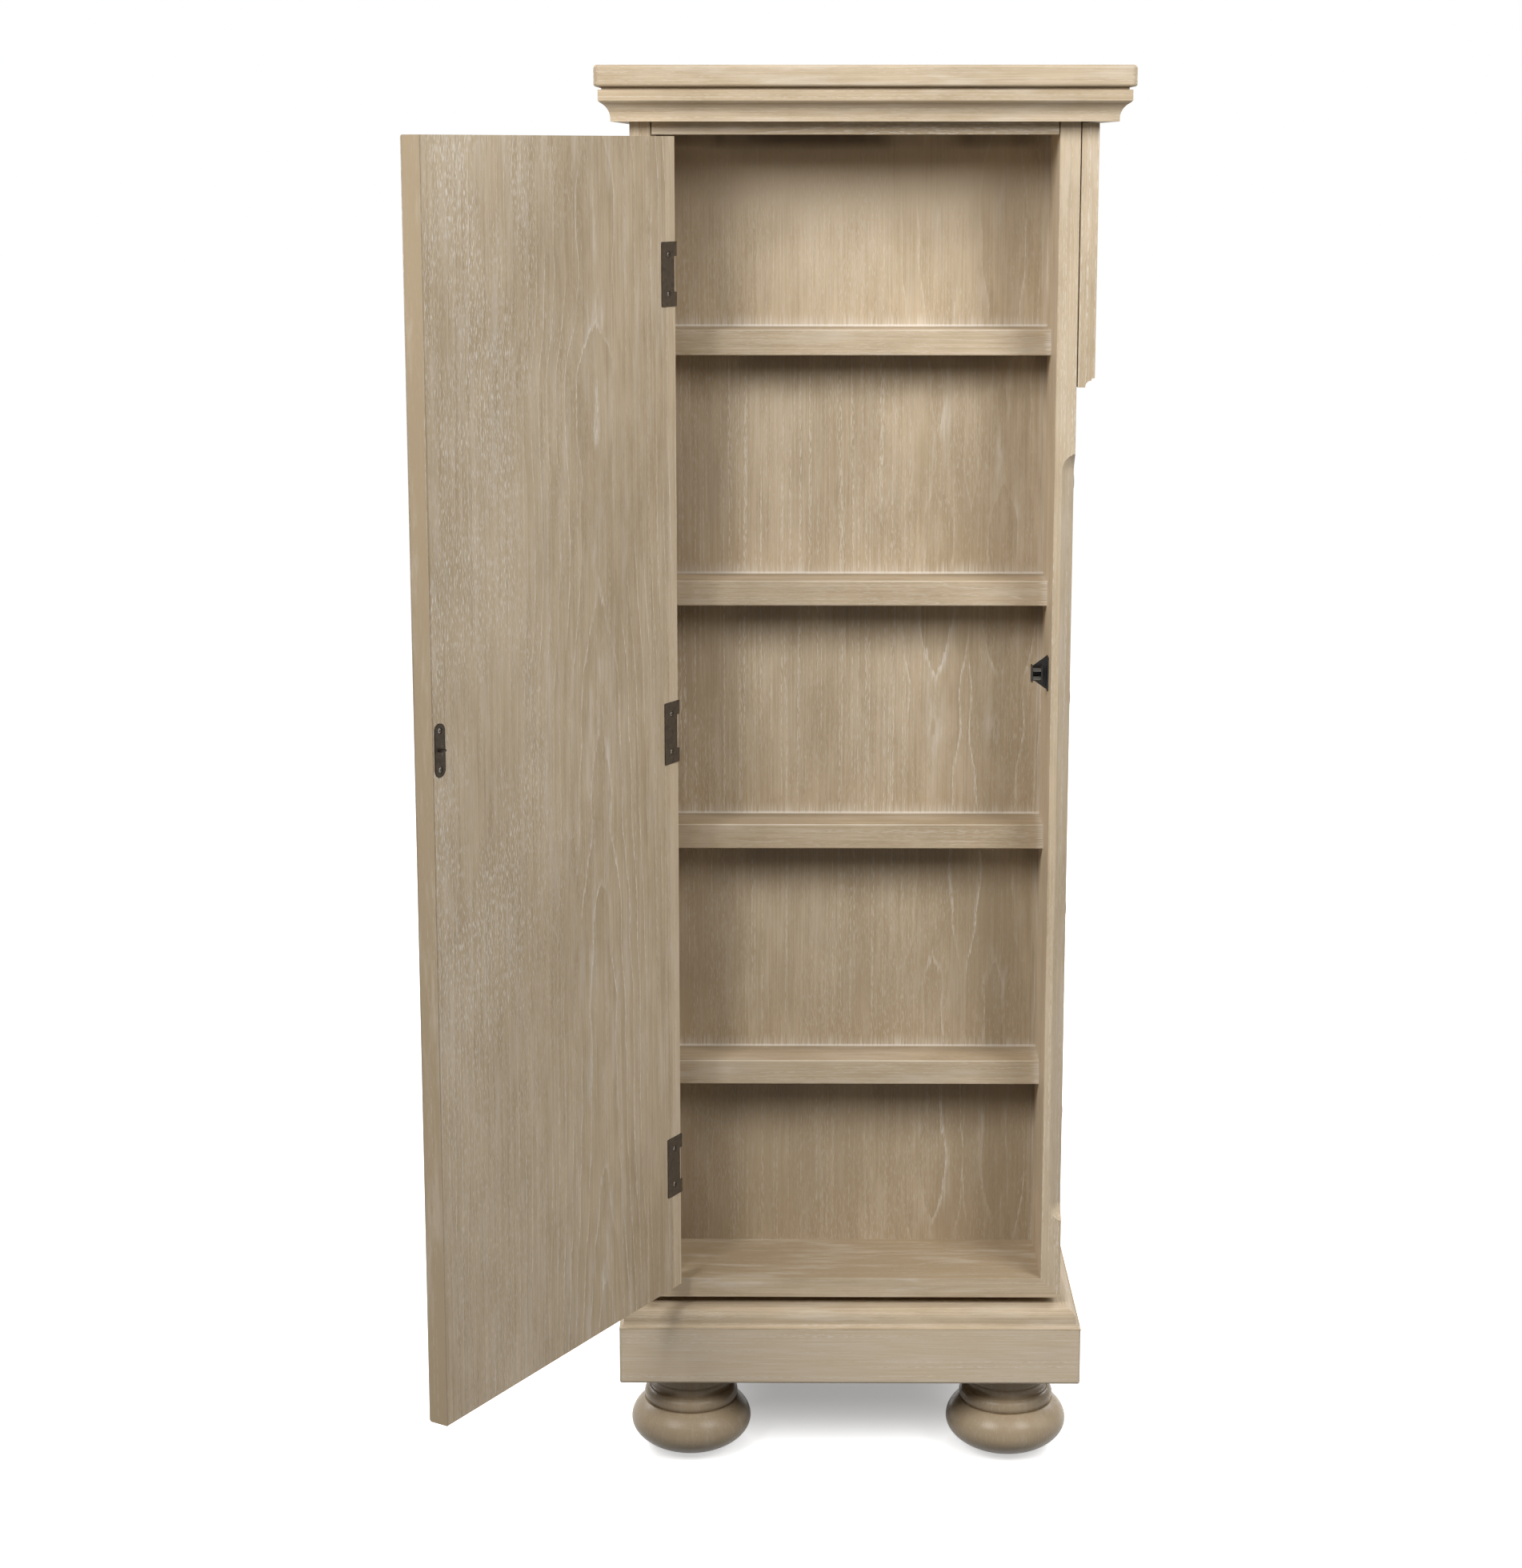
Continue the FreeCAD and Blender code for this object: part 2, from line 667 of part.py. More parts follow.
def door_panel():
    """The door: a plain slab with rounded outer edges and a recess for the mirror."""
    slab = block(door_x0, door_x1, -body_y, door_back, door_z0, door_z1)
    slab = rounded(slab, door_edge_radius,
                   lambda middle, box: abs(middle.y + body_y) < 1e-6 and middle.x > door_x0 + cut_margin)
    slab = slab.cut(mirror_recess_box(-body_y, -body_y + mirror_recess, mirror_margin))
    places = door_screw_places(hinge_heights) + strike_screw_places()
    return slab.cut(Part.makeCompound([screw_hole(place, Vector(0, -1, 0)) for place in places]))


def mirror_glass():
    """The mirror, bedded on the floor of its recess."""
    back = -body_y + mirror_recess
    return mirror_recess_box(back - mirror_thickness, back, mirror_margin + glass_gap)


def mirror_beads():
    """The mitred quarter-round beads that hold the mirror."""
    seat = mirror_recess - mirror_thickness
    rise = seat + mirror_bead_proud
    round_radius = mirror_bead_proud
    steps = [(0, 0), (0, rise), (-mirror_bead_width + round_radius, rise),
             arc_to(-mirror_bead_width + round_radius, rise - round_radius, round_radius, 90, 180),
             (-mirror_bead_width, 0)]
    half_x = (door_x1 - door_x0) / 2 - mirror_margin
    half_z = (door_z1 - door_z0) / 2 - mirror_margin
    face = FreeCAD.Placement(Vector((door_x0 + door_x1) / 2, -body_y + seat, (door_z0 + door_z1) / 2),
                             FreeCAD.Rotation(Vector(1, 0, 0), 90))
    runs = mitred_frame(steps, -half_x, half_x, -half_z, half_z)
    for run in runs:
        run.Placement = face.multiply(run.Placement)
    return runs


def strike_plate():
    """The strike: a round-ended plate with a spear that parts the catch's rollers."""
    radius = strike_width / 2
    straight = strike_height / 2 - radius
    plate = block(strike_x - radius, strike_x + radius, door_back, door_back + catch_sheet,
                  z_catch - straight, z_catch + straight)
    for z in (z_catch - straight, z_catch + straight):
        end = Part.makeCylinder(radius, catch_sheet, Vector(strike_x, door_back, z), Vector(0, 1, 0))
        plate = plate.fuse(end)
    half = spear_thickness / 2
    spear_y = door_back + catch_sheet
    straight = spear_length - half
    profile = [(0, -half), (straight, -half), arc_to(straight, 0, half, -90, 90), (0, half)]
    spear = section(profile, lambda u, v: Vector(strike_x - spear_width / 2, spear_y + u, z_catch + v))
    plate = plate.fuse(spear.extrude(Vector(spear_width, 0, 0))).removeSplitter()
    holes = [head_hole(place, Vector(0, 1, 0), catch_sheet) for place in strike_screw_places()]
    return plate.cut(Part.makeCompound(holes))


def door_pieces():
    """The door and all that swings with it, swung open about the hinge pins."""
    places = door_screw_places(hinge_heights) + strike_screw_places()
    pieces = {"door_panel": door_panel(),
              "mirror_glass": mirror_glass(),
              "mirror_beads": Part.makeCompound(mirror_beads()),
              "door_hinge_leaves": Part.makeCompound([door_leaf(height) for height in hinge_heights]),
              "hinge_pins": Part.makeCompound([hinge_pin(height) for height in hinge_heights]),
              "strike_plate": strike_plate(),
              "door_screws": Part.makeCompound(
                  [screw(place, Vector(0, -1, 0), leaf_thickness) for place in places])}
    for shape in pieces.values():
        shape.rotate(Vector(hinge_x, hinge_y, 0), UP, -door_open_angle)
    return pieces


def catch_front():
    """Where the catch starts behind the shut door's strike."""
    return door_back + catch_sheet + catch_setback


def catch_screw_places():
    """Where the catch is screwed to the wall."""
    y = catch_front() + catch_screw_offset
    half = catch_screw_spacing / 2
    return [Vector(inner_x, y, z_catch - half), Vector(inner_x, y, z_catch + half)]


def lug_spans():
    """The two cheeks that hold the rollers' axles, as spans along X."""
    half = roller_length / 2 + roller_side_clearance
    return [(strike_x - half - catch_sheet, strike_x - half),
            (strike_x + half, strike_x + half + catch_sheet)]


def roller_places():
    """The centres of the two rollers, at the front of the catch."""
    y = catch_front() + roller_radius
    rise = roller_radius + roller_gap / 2
    return {"lower": Vector(strike_x, y, z_catch - rise), "upper": Vector(strike_x, y, z_catch + rise)}


def catch_housing():
    """The catch's folded sheet: a base on the wall, a tapering web and two cheeks for the rollers."""
    front = catch_front()
    back = front + catch_base_depth
    half = catch_base_height / 2
    nose = catch_nose_height / 2
    spans = lug_spans()
    nose_x = spans[0][0]
    web_y = front + lug_depth
    wall_x = inner_x - catch_sheet
    outline = [(wall_x, -half), (wall_x, half), (nose_x, nose), (nose_x, -nose)]
    web = prism([Vector(x, web_y, z_catch + z) for x, z in outline], Vector(0, catch_sheet, 0))
    housing = web.fuse(block(wall_x, inner_x, front, back, z_catch - half, z_catch + half))
    for x0, x1 in spans:
        lug = block(x0, x1, front, web_y + catch_sheet, z_catch - lug_height / 2, z_catch + lug_height / 2)
        housing = housing.fuse(lug)
    bores = []
    for place in roller_places().values():
        start = Vector(nose_x, place.y, place.z)
        length = spans[1][1] - nose_x
        bores.append(Part.makeCylinder(axle_radius + pin_clearance, length, start, Vector(1, 0, 0)))
    holes = [head_hole(place, Vector(-1, 0, 0), catch_sheet) for place in catch_screw_places()]
    return housing.removeSplitter().cut(Part.makeCompound(bores + holes))


def catch_roller(place):
    """A roller with its axle ends in the catch's cheeks."""
    along = Vector(1, 0, 0)
    start = lug_spans()[0][0]
    end = lug_spans()[1][1]
    barrel = Part.makeCylinder(roller_radius, roller_length, place - along * (roller_length / 2), along)
    axle = Part.makeCylinder(axle_radius, end - start, Vector(start, place.y, place.z), along)
    return barrel.fuse(axle).removeSplitter()


def drawer_openings():
    """Low and high edges of each drawer opening, from the bottom drawer to the frieze drawer."""
    zone = z_frieze_opening - rail_height - z_floor
    pitch = (zone + rail_height) / lower_drawer_count
    lows = [z_floor + index * pitch for index in range(lower_drawer_count)]
    return [(low, low + pitch - rail_height) for low in lows] + [(z_frieze_opening, z_head)]


def drawer_rails():
    """The rails between the drawers and above the frieze drawer, let in between the posts."""
    openings = drawer_openings()
    spans = [(low[1], high[0]) for low, high in zip(openings, openings[1:])] + [(z_head, z_crown)]
    return [block(body_x - rail_thickness, body_x, -post_y, post_y, low, high) for low, high in spans]


def box_span():
    """The drawer boxes' width, as a span along Y."""
    return drawer_y0 + box_side_gap, post_y - box_side_gap


def drawer_runners():
    """A runner under each side of each drawer; the far one carries a guide out from the end panel."""
    far = box_span()[1]
    pieces = []
    for low, _ in drawer_openings():
        top = low + box_lift - runner_clearance
        pieces.append(block(-inner_x, inner_x, drawer_y0, drawer_y0 + runner_width, low, top))
        bed = block(-inner_x, inner_x, far - runner_width, inner_y, low, top)
        guide = block(-inner_x, inner_x, post_y, inner_y, top, top + guide_height)
        pieces.append(bed.fuse(guide).removeSplitter())
    return pieces


def drawer_box(low, high, front):
    """A drawer box: two sides and a back round a floor let into them, open at the front board."""
    near, far = box_span()
    back = -inner_x + box_back_gap
    bottom = low + box_lift
    top = high - box_headroom
    floor_low = bottom + box_floor_lift
    outer = block(back, front, near, far, bottom, top)
    inside = (back + box_wall, front, near + box_wall, far - box_wall)
    return outer.cut(block(*inside, floor_low + box_floor, top)).cut(block(*inside, bottom, floor_low))


def lower_front(low, high):
    """An inset drawer front, lipped over the wall of the shelf space, with eased outer edges."""
    inside = body_x - front_thickness
    z0 = low + front_gap
    z1 = high - front_gap
    front = block(inside, body_x, -post_y + front_gap, post_y - front_gap, z0, z1)
    front = rounded(front, front_edge_radius,
                    lambda middle, box: abs(middle.x - body_x) < 1e-6 and box.XLength < 1e-6)
    lip_x = inner_x + closet_wall_thickness + lip_clearance
    return front.cut(block(inside, lip_x, -post_y, drawer_y0 + lip_clearance, z0, z1))


def frieze_front():
    """The frieze drawer's front, which overlaps both posts and ends below in a step, a cove and a foot."""
    high = z_frieze + frieze_height
    ease = frieze_edge_radius
    cove_v = z_frieze + frieze_foot_lip
    step_v = cove_v + frieze_cove + frieze_step
    steps = [(0, z_frieze), (frieze_foot_width, z_frieze), (frieze_foot_width, cove_v),
             arc_to(frieze_foot_width + frieze_cove, cove_v, frieze_cove, 180, 90),
             (frieze_foot_width + frieze_cove, step_v), (frieze_thickness - ease, step_v),
             arc_to(frieze_thickness - ease, step_v + ease, ease, 270, 360), (frieze_thickness, high - ease),
             arc_to(frieze_thickness - ease, high - ease, ease, 0, 90), (0, high)]
    return section(steps, lambda u, v: Vector(frieze_x + u, -body_y, v)).extrude(Vector(0, body_depth, 0))


def frieze_box(low, high):
    """The frieze drawer's box, with a front board of its own that stands off the overlapping front."""
    near, far = box_span()
    inside = frieze_x - front_thickness
    board = block(inside, frieze_x, near, far, low + box_lift, high - box_headroom)
    return drawer_box(low, high, inside).fuse(board).removeSplitter()


def knob(x, z):
    """A turned metal knob: a rose, a waisted neck and a domed head."""
    shoulder = knob_projection - knob_head_thickness
    rim = knob_head_thickness / 2
    rim_arc = arc_to(knob_radius - rim, shoulder + rim, rim, 270, 405)
    rise = knob_projection - rim_arc[3]
    dome = (rim_arc[2] ** 2 + rise ** 2) / (2 * rise)
    dome_start = math.degrees(math.asin((dome - rise) / dome))
    steps = [(0, 0), (knob_rose_radius, 0), (knob_rose_radius, knob_rose_thickness / 2),
             (knob_neck_radius + knob_neck_flare, knob_rose_thickness),
             (knob_neck_radius, (knob_rose_thickness + shoulder) / 2), (knob_radius - rim, shoulder), rim_arc,
             arc_to(0, knob_projection - dome, dome, dome_start, 90)]
    return revolved(steps, Vector(x, 0, z), Vector(1, 0, 0))


def drawer_pieces():
    """Front, box and knob of every drawer, numbered from the bottom; the frieze drawer is the last."""
    pieces = {}
    openings = drawer_openings()
    for number, (low, high) in enumerate(openings[:-1], 1):
        name = "drawer_%d_" % number
        pieces[name + "front"] = lower_front(low, high)
        pieces[name + "box"] = drawer_box(low, high, body_x - front_thickness)
        pieces[name + "knob"] = knob(body_x, (low + high) / 2)
    low, high = openings[-1]
    pieces["frieze_drawer_front"] = frieze_front()
    pieces["frieze_drawer_box"] = frieze_box(low, high)
    pieces["frieze_drawer_knob"] = knob(crown_x1, z_frieze + frieze_height / 2)
    return pieces


def chest_pieces():
    """The turning carcass with its shelves, crown, top and fixed hardware."""
    sides = [hinge_side(), near_side(), far_post()]
    pieces = {"hinge_side": sides[0], "near_side": sides[1], "far_post": sides[2],
              "floor_board": floor_board(sides),
              "end_panel": block(-inner_x, inner_x, inner_y, body_y, z_floor, z_crown),
              "closet_back": block(-inner_x, inner_x, closet_y, drawer_y0, z_floor, z_head),
              "head_rail": block(head_rail_end_gap - inner_x, inner_x - head_rail_end_gap, -body_y,
                                 -body_y + head_rail_thickness, z_head, z_crown),
              "carcass_top": block(-inner_x, inner_x, -body_y + head_rail_thickness, inner_y,
                                   z_head, z_crown)}
    for number, top in enumerate(shelf_tops(), 1):
        pieces["shelf_%d" % number] = shelf(top)
    pieces["drawer_rails"] = Part.makeCompound(drawer_rails())
    pieces["drawer_runners"] = Part.makeCompound(drawer_runners())
    pieces["crown_moulding"] = Part.makeCompound(crown())
    pieces["top_board"] = top_board()
    seats = [Vector(x, y, z_carcass) for x, y in race_screw_places()]
    pieces["swivel_upper_race"] = race(z_carcass - race_thickness, z_carcass, -UP)
    pieces["swivel_upper_screws"] = Part.makeCompound([screw(seat, UP, race_thickness) for seat in seats])
    pieces["frame_hinge_leaves"] = Part.makeCompound([frame_leaf(height) for height in hinge_heights])
    pieces["catch_housing"] = catch_housing()
    screws = [screw(place, Vector(-1, 0, 0), leaf_thickness) for place in frame_screw_places(hinge_heights)]
    screws += [screw(place, Vector(1, 0, 0), leaf_thickness) for place in catch_screw_places()]
    pieces["carcass_screws"] = Part.makeCompound(screws)
    return pieces


def all_pieces():
    """Every piece of the chest by name."""
    pieces = base_pieces()
    pieces["swivel_balls"] = Part.makeCompound(swivel_balls())
    pieces.update(chest_pieces())
    for name, place in roller_places().items():
        pieces["catch_roller_" + name] = catch_roller(place)
    pieces.update(door_pieces())
    pieces.update(drawer_pieces())
    return pieces


os.makedirs("parts", exist_ok=True)
for node, shape in all_pieces().items():
    shape.exportStep("parts/" + node + ".step")
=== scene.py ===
import json
import math

import bpy
from bpy.props import FloatProperty, FloatVectorProperty, IntProperty, PointerProperty
from mathutils import Matrix, Vector


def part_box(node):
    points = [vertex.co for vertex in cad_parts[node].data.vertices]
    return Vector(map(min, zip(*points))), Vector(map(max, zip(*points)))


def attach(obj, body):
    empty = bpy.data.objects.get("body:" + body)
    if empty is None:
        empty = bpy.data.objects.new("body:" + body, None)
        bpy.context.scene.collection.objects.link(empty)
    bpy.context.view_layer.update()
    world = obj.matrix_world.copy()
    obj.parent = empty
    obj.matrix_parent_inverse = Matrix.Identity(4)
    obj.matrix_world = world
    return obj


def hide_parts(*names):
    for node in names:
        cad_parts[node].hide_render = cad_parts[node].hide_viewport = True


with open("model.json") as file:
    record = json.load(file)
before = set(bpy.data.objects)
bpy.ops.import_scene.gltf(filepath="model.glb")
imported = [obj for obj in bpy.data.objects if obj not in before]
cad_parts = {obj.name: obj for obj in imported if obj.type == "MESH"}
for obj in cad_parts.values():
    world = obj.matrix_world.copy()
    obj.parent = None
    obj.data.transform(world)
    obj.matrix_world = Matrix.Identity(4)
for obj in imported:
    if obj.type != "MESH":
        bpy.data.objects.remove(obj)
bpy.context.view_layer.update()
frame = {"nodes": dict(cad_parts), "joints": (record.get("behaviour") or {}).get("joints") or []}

bl_info = {
    "name": "Swivel Chest",
    "version": (1, 0, 0),
    "blender": (4, 5, 0),
    "location": "View3D > Sidebar > Chest",
    "description": "Finishes a limed-wood swivel chest with a side door and sets it on a studio floor",
    "category": "Object",
}

NODES = frame["nodes"]
JOINTS = {joint["name"]: joint for joint in frame["joints"]}
DOOR_PIVOT = Vector(JOINTS["door_swing"]["pos_m"])
DOOR_OPEN = math.radians(-JOINTS["door_swing"]["range_deg"][0])
DOOR_TURN = Matrix.Rotation(-DOOR_OPEN, 3, "Z")
ACROSS_DOOR = DOOR_TURN @ Vector((1, 0, 0))
INTO_DOOR = DOOR_TURN @ Vector((0, 1, 0))

# Sizes of the CAD source that the finishes and the modelled pieces follow, in metres.
DOOR_START = 0.0015
DOOR_WIDTH = 0.421
CHAMFER = 0.014
LIPPING = 0.003
HINGE_HALF = 0.0335
HINGE_SCREW_STEP = 0.0205
HINGE_SCREW_ALONG = 0.0145
STRIKE_SCREW_STEP = 0.019
STRIKE_SCREW_ALONG = 0.412
DOOR_SCREW_DEPTH = 0.0289
WALL_SCREW_Y = -0.222
CATCH_SCREW_STEP = 0.0145
CATCH_SCREW_INSET = 0.0055
MIRROR_MARGIN = 0.0445
MIRROR_BACK = 0.0109
MIRROR_THICKNESS = 0.0040

# The mirror's ground edge and the screws' cross, in metres, and the cross's length in head radii.
MIRROR_GROUND = 0.0012
CROSS_DEPTH = 0.0022
CROSS_LENGTH = 1.15

# The turn from screw to screw, the sharpest smooth edge, and how squarely a selected face looks one way.
SCREW_TWIST = 0.7
SMOOTH_ANGLE = math.radians(35)
FACING = 0.9

# Each lamp: its place, its aim, its width and height, and the property with its power.
FRONT = (0.0, -0.2, 1.2)
BEHIND = (0.0, 0.2, 0.9)
LAMPS = {
    "left_softbox": ((-1.72, -2.40, 2.85), FRONT, (1.4, 1.7), "left_light"),
    "right_softbox": ((1.80, -2.35, 2.85), FRONT, (1.4, 1.7), "right_light"),
    "side_panel": ((2.90, -1.00, 1.60), FRONT, (1.2, 1.8), "side_light"),
    "right_back_softbox": ((2.40, 2.20, 2.60), BEHIND, (1.6, 1.8), "back_light"),
    "left_back_softbox": ((-2.40, 2.20, 2.60), BEHIND, (1.6, 1.8), "back_light"),
}
SENSOR_WIDTH = 36.0
WHITE = (1.0, 1.0, 1.0, 1.0)
PAPER = (0.80, 0.80, 0.80, 1.0)

# The layout of a node tree in Blender's editor.
NODE_COLUMNS = 12
NODE_WIDTH = 220
NODE_HEIGHT = 260

AXES = {"X": Vector((1, 0, 0)), "Y": Vector((0, 1, 0)), "Z": Vector((0, 0, 1)), "DOOR": ACROSS_DOOR}
FEET = ["bun_foot_" + corner for corner in ("front_left", "front_right", "back_left", "back_right")]
SHELVES = ["shelf_%d" % number for number in range(1, 5)]
DRAWERS = ["drawer_%d" % number for number in range(1, 5)]

# Each wooden node: the axis its grain runs along, the axis across its face, and how wide its planks are.
# A plank wider than the board shows no seam.
WHOLE = 0.40
VENEER = 2.0
BOARDS = {
    "top_board": ("X", "Y", 0.16),
    "head_rail": ("X", "Z", WHOLE),
    "carcass_top": ("X", "Y", 0.14),
    "floor_board": ("X", "Y", 0.12),
    **{shelf: ("X", "Z", WHOLE) for shelf in SHELVES},
    "closet_back": ("Z", "X", VENEER),
    "hinge_side": ("Z", "Y", 0.13),
    "near_side": ("Z", "Y", WHOLE),
    "far_post": ("Z", "Y", WHOLE),
    "end_panel": ("Z", "X", 0.14),
    "door_panel": ("Z", "DOOR", VENEER),
    "drawer_rails": ("Y", "Z", WHOLE),
    **{drawer + "_front": ("Y", "Z", 0.12) for drawer in DRAWERS},
    "frieze_drawer_front": ("Y", "Z", 0.14),
    "plinth_front": ("X", "Z", WHOLE),
    "plinth_back": ("X", "Z", WHOLE),
    "plinth_left": ("Y", "Z", WHOLE),
    "plinth_right": ("Y", "Z", WHOLE),
    **{foot: ("Z", "X" if "front" in foot else "Y", WHOLE) for foot in FEET},
}
MITRED = ("crown_moulding", "plinth_moulding")

# Where the boards are cut from their trees: the first place, the step to the next, and the trees' numbers.
CUT_START = (0.031, 0.004, 0.27)
CUT_STEP = (0.113, 0.0, 0.371)
BOARD_SEED = 3.7
HEART_CUT = (1.0, 0.004, 0.1)
MITRED_START = (0.2, 0.01, 0.11)
MITRED_STEP = (0.3, 0.0, 0.0)
MITRED_SEED = 51.0
BEADS_CUT = (0.5, 0.01, 0.11)
BEADS_SEED = 61.0
PLAIN_CUT = (0.31, 0.17, 0.05)

# What the grain takes beside its place: how wide its planks are and which tree they come from, where the
# heart lies, how far it strays from plank to plank and how it leans, and how strong each mark is.
GRAIN_SETTINGS = {"Plank": 0.14, "Seed": 0.0, "Heart": 0.0, "Spread": 0.2, "Lean": 0.0,
                  "Figure": 1.0, "Flecks": 1.0, "Threads": 1.0, "Wash": 1.0,
                  "Haze": 0.0, "Glaze": 0.0, "Tone": 0.0, "Polish": 0.0}
# Where a board differs from these settings.
FINISHES = {
    "closet_back": {"Spread": 0.0, "Flecks": 0.45, "Wash": 0.5},
    "door_panel": {"Spread": 0.0, "Heart": 0.147, "Lean": 0.046, "Threads": 0.6},
    "top_board": {"Figure": 0.4, "Flecks": 0.3, "Threads": 0.5, "Haze": 0.36},
    "near_side": {"Figure": 0.4, "Flecks": 0.4, "Tone": 0.2},
    "frieze_drawer_front": {"Figure": 0.5, "Flecks": 0.4, "Tone": -0.05, "Haze": 0.30},
    "plinth_front": {"Figure": 0.3, "Flecks": 0.3, "Tone": 0.5, "Haze": 0.48},
    "plinth_right": {"Figure": 0.3, "Flecks": 0.3, "Tone": 0.5, "Haze": 0.48},
    "floor_board": {"Figure": 0.5, "Flecks": 0.15, "Threads": 0.25, "Wash": 1.4, "Haze": 0.25},
    "crown_moulding": {"Figure": 0.4, "Flecks": 0.3, "Threads": 0.5, "Tone": 0.1, "Haze": 0.3},
    "plinth_moulding": {"Figure": 0.4, "Flecks": 0.3, "Threads": 0.5, "Haze": 0.3},
    **{foot: {"Figure": 0.2, "Flecks": 0.25, "Threads": 0.3, "Wash": 0.5, "Glaze": 0.2,
              "Tone": -0.75, "Polish": 1.0} for foot in FEET},
    **{shelf: {"Figure": 0.6, "Flecks": 0.35, "Threads": 0.5} for shelf in SHELVES},
}
PLAIN_WOOD = [drawer + "_box" for drawer in DRAWERS + ["frieze_drawer"]]
PLAIN_WOOD += ["drawer_runners", "corner_blocks", "base_top"]
HINGES = ("door_hinge_leaves", "frame_hinge_leaves", "hinge_pins")
PEWTER = [drawer + "_knob" for drawer in DRAWERS + ["frieze_drawer"]] + ["strike_plate"]
ROLLERS = ("catch_roller_lower", "catch_roller_upper")
CATCH = ("catch_housing",)
STEEL = ("swivel_lower_race", "swivel_upper_race", "swivel_balls",
         "swivel_lower_screws", "swivel_upper_screws", "foot_bolts")


class ChestWood(bpy.types.PropertyGroup):
    """Colours and figure of the limed wood."""

    light: FloatVectorProperty(name="Light Wood", description="Palest bare wood", subtype="COLOR", size=3,
                               default=(0.580, 0.468, 0.329), min=0, max=1)
    dark: FloatVectorProperty(name="Dark Wood", description="Deepest bare wood", subtype="COLOR", size=3,
                              default=(0.400, 0.308, 0.199), min=0, max=1)
    # The lime colour also paints a highlight along each shelf's front arris.
    lime: FloatVectorProperty(name="Lime", description="White lime left in the open grain", subtype="COLOR",
                              size=3, default=(0.740, 0.680, 0.590), min=0, max=1)
    # The glaze colour also paints shade: beside the closet's walls, under its shelves and rail, at the
    # shelves' backs and left ends, and on the door's edge.
    glaze_and_shade: FloatVectorProperty(name="Glaze", description="Brown glaze left in corners", subtype="COLOR",
                               size=3, default=(0.120, 0.080, 0.044), min=0, max=1)
    inside: FloatVectorProperty(name="Drawer Wood", description="Plain wood of the drawer boxes",
                                subtype="COLOR", size=3, default=(0.560, 0.420, 0.255), min=0, max=1)
    ring_gap: FloatProperty(name="Ring Gap", description="Distance between growth rings", unit="LENGTH",
                            default=0.0100, min=0.001, max=0.05)
    pore_gap: FloatProperty(name="Pore Gap", description="Distance between open pores across the grain",
                            unit="LENGTH", default=0.0009, min=0.0002, max=0.01)
    pore_length: FloatProperty(name="Pore Length", description="Distance between open pores along the grain",
                               unit="LENGTH", default=0.008, min=0.001, max=0.1)
    relief: FloatProperty(name="Grain Relief", description="Depth of the grain's bump", unit="LENGTH",
                          default=0.0004, min=0, max=0.01)


class ChestHardware(bpy.types.PropertyGroup):
    """Metal finishes and the screws that Blender models."""

    hinge: FloatVectorProperty(name="Hinge Metal", description="Aged metal of the hinges", subtype="COLOR",
                               size=3, default=(0.105, 0.089, 0.072), min=0, max=1)
    pewter: FloatVectorProperty(name="Pewter", description="Aged metal of the strike and the knobs",
                                subtype="COLOR", size=3, default=(0.060, 0.050, 0.040), min=0, max=1)
    roller: FloatVectorProperty(name="Roller Metal", description="Dark polished metal of the rollers",
                                subtype="COLOR", size=3, default=(0.090, 0.085, 0.074), min=0, max=1)
    steel: FloatVectorProperty(name="Steel", description="Bright metal of the bearing and the bolts",
                               subtype="COLOR", size=3, default=(0.48, 0.47, 0.45), min=0, max=1)
    worn: FloatVectorProperty(name="Worn Metal", description="Worn metal of the screw heads", subtype="COLOR",
                              size=3, default=(0.20, 0.18, 0.16), min=0, max=1)
    black: FloatVectorProperty(name="Catch Black", description="Japanned metal of the catch", subtype="COLOR",
                               size=3, default=(0.016, 0.015, 0.014), min=0, max=1)
    silver: FloatVectorProperty(name="Mirror Silver", description="Colour of the silvered glass",
                                subtype="COLOR", size=3, default=(0.74, 0.77, 0.78), min=0, max=1)
    head_radius: FloatProperty(name="Screw Head Radius", description="Radius of a screw head", unit="LENGTH",
                               default=0.0030, min=0.001, max=0.01)
    leaf_thickness: FloatProperty(name="Leaf Thickness", description="Sheet that the heads are sunk into",
                                  unit="LENGTH", default=0.0013, min=0.001, max=0.003)
    shank: FloatProperty(name="Shank", description="Length of a screw below its head", unit="LENGTH",
                         default=0.015, min=0.005, max=0.05)
    head_dome: FloatProperty(name="Screw Dome", description="How high a screw head is domed", unit="LENGTH",
                             default=0.0007, min=0, max=0.003)
    recess_width: FloatProperty(name="Cross Width", description="Width of the cross recess", unit="LENGTH",
                                default=0.0009, min=0.0002, max=0.003)
    head_sides: IntProperty(name="Screw Sides", description="Corners of a screw head's outline", default=32,
                            min=8, max=64)
    mirror_bevel: FloatProperty(name="Mirror Bevel", description="Width of the mirror's ground edge",
                                unit="LENGTH", default=0.024, min=0.002, max=0.08)


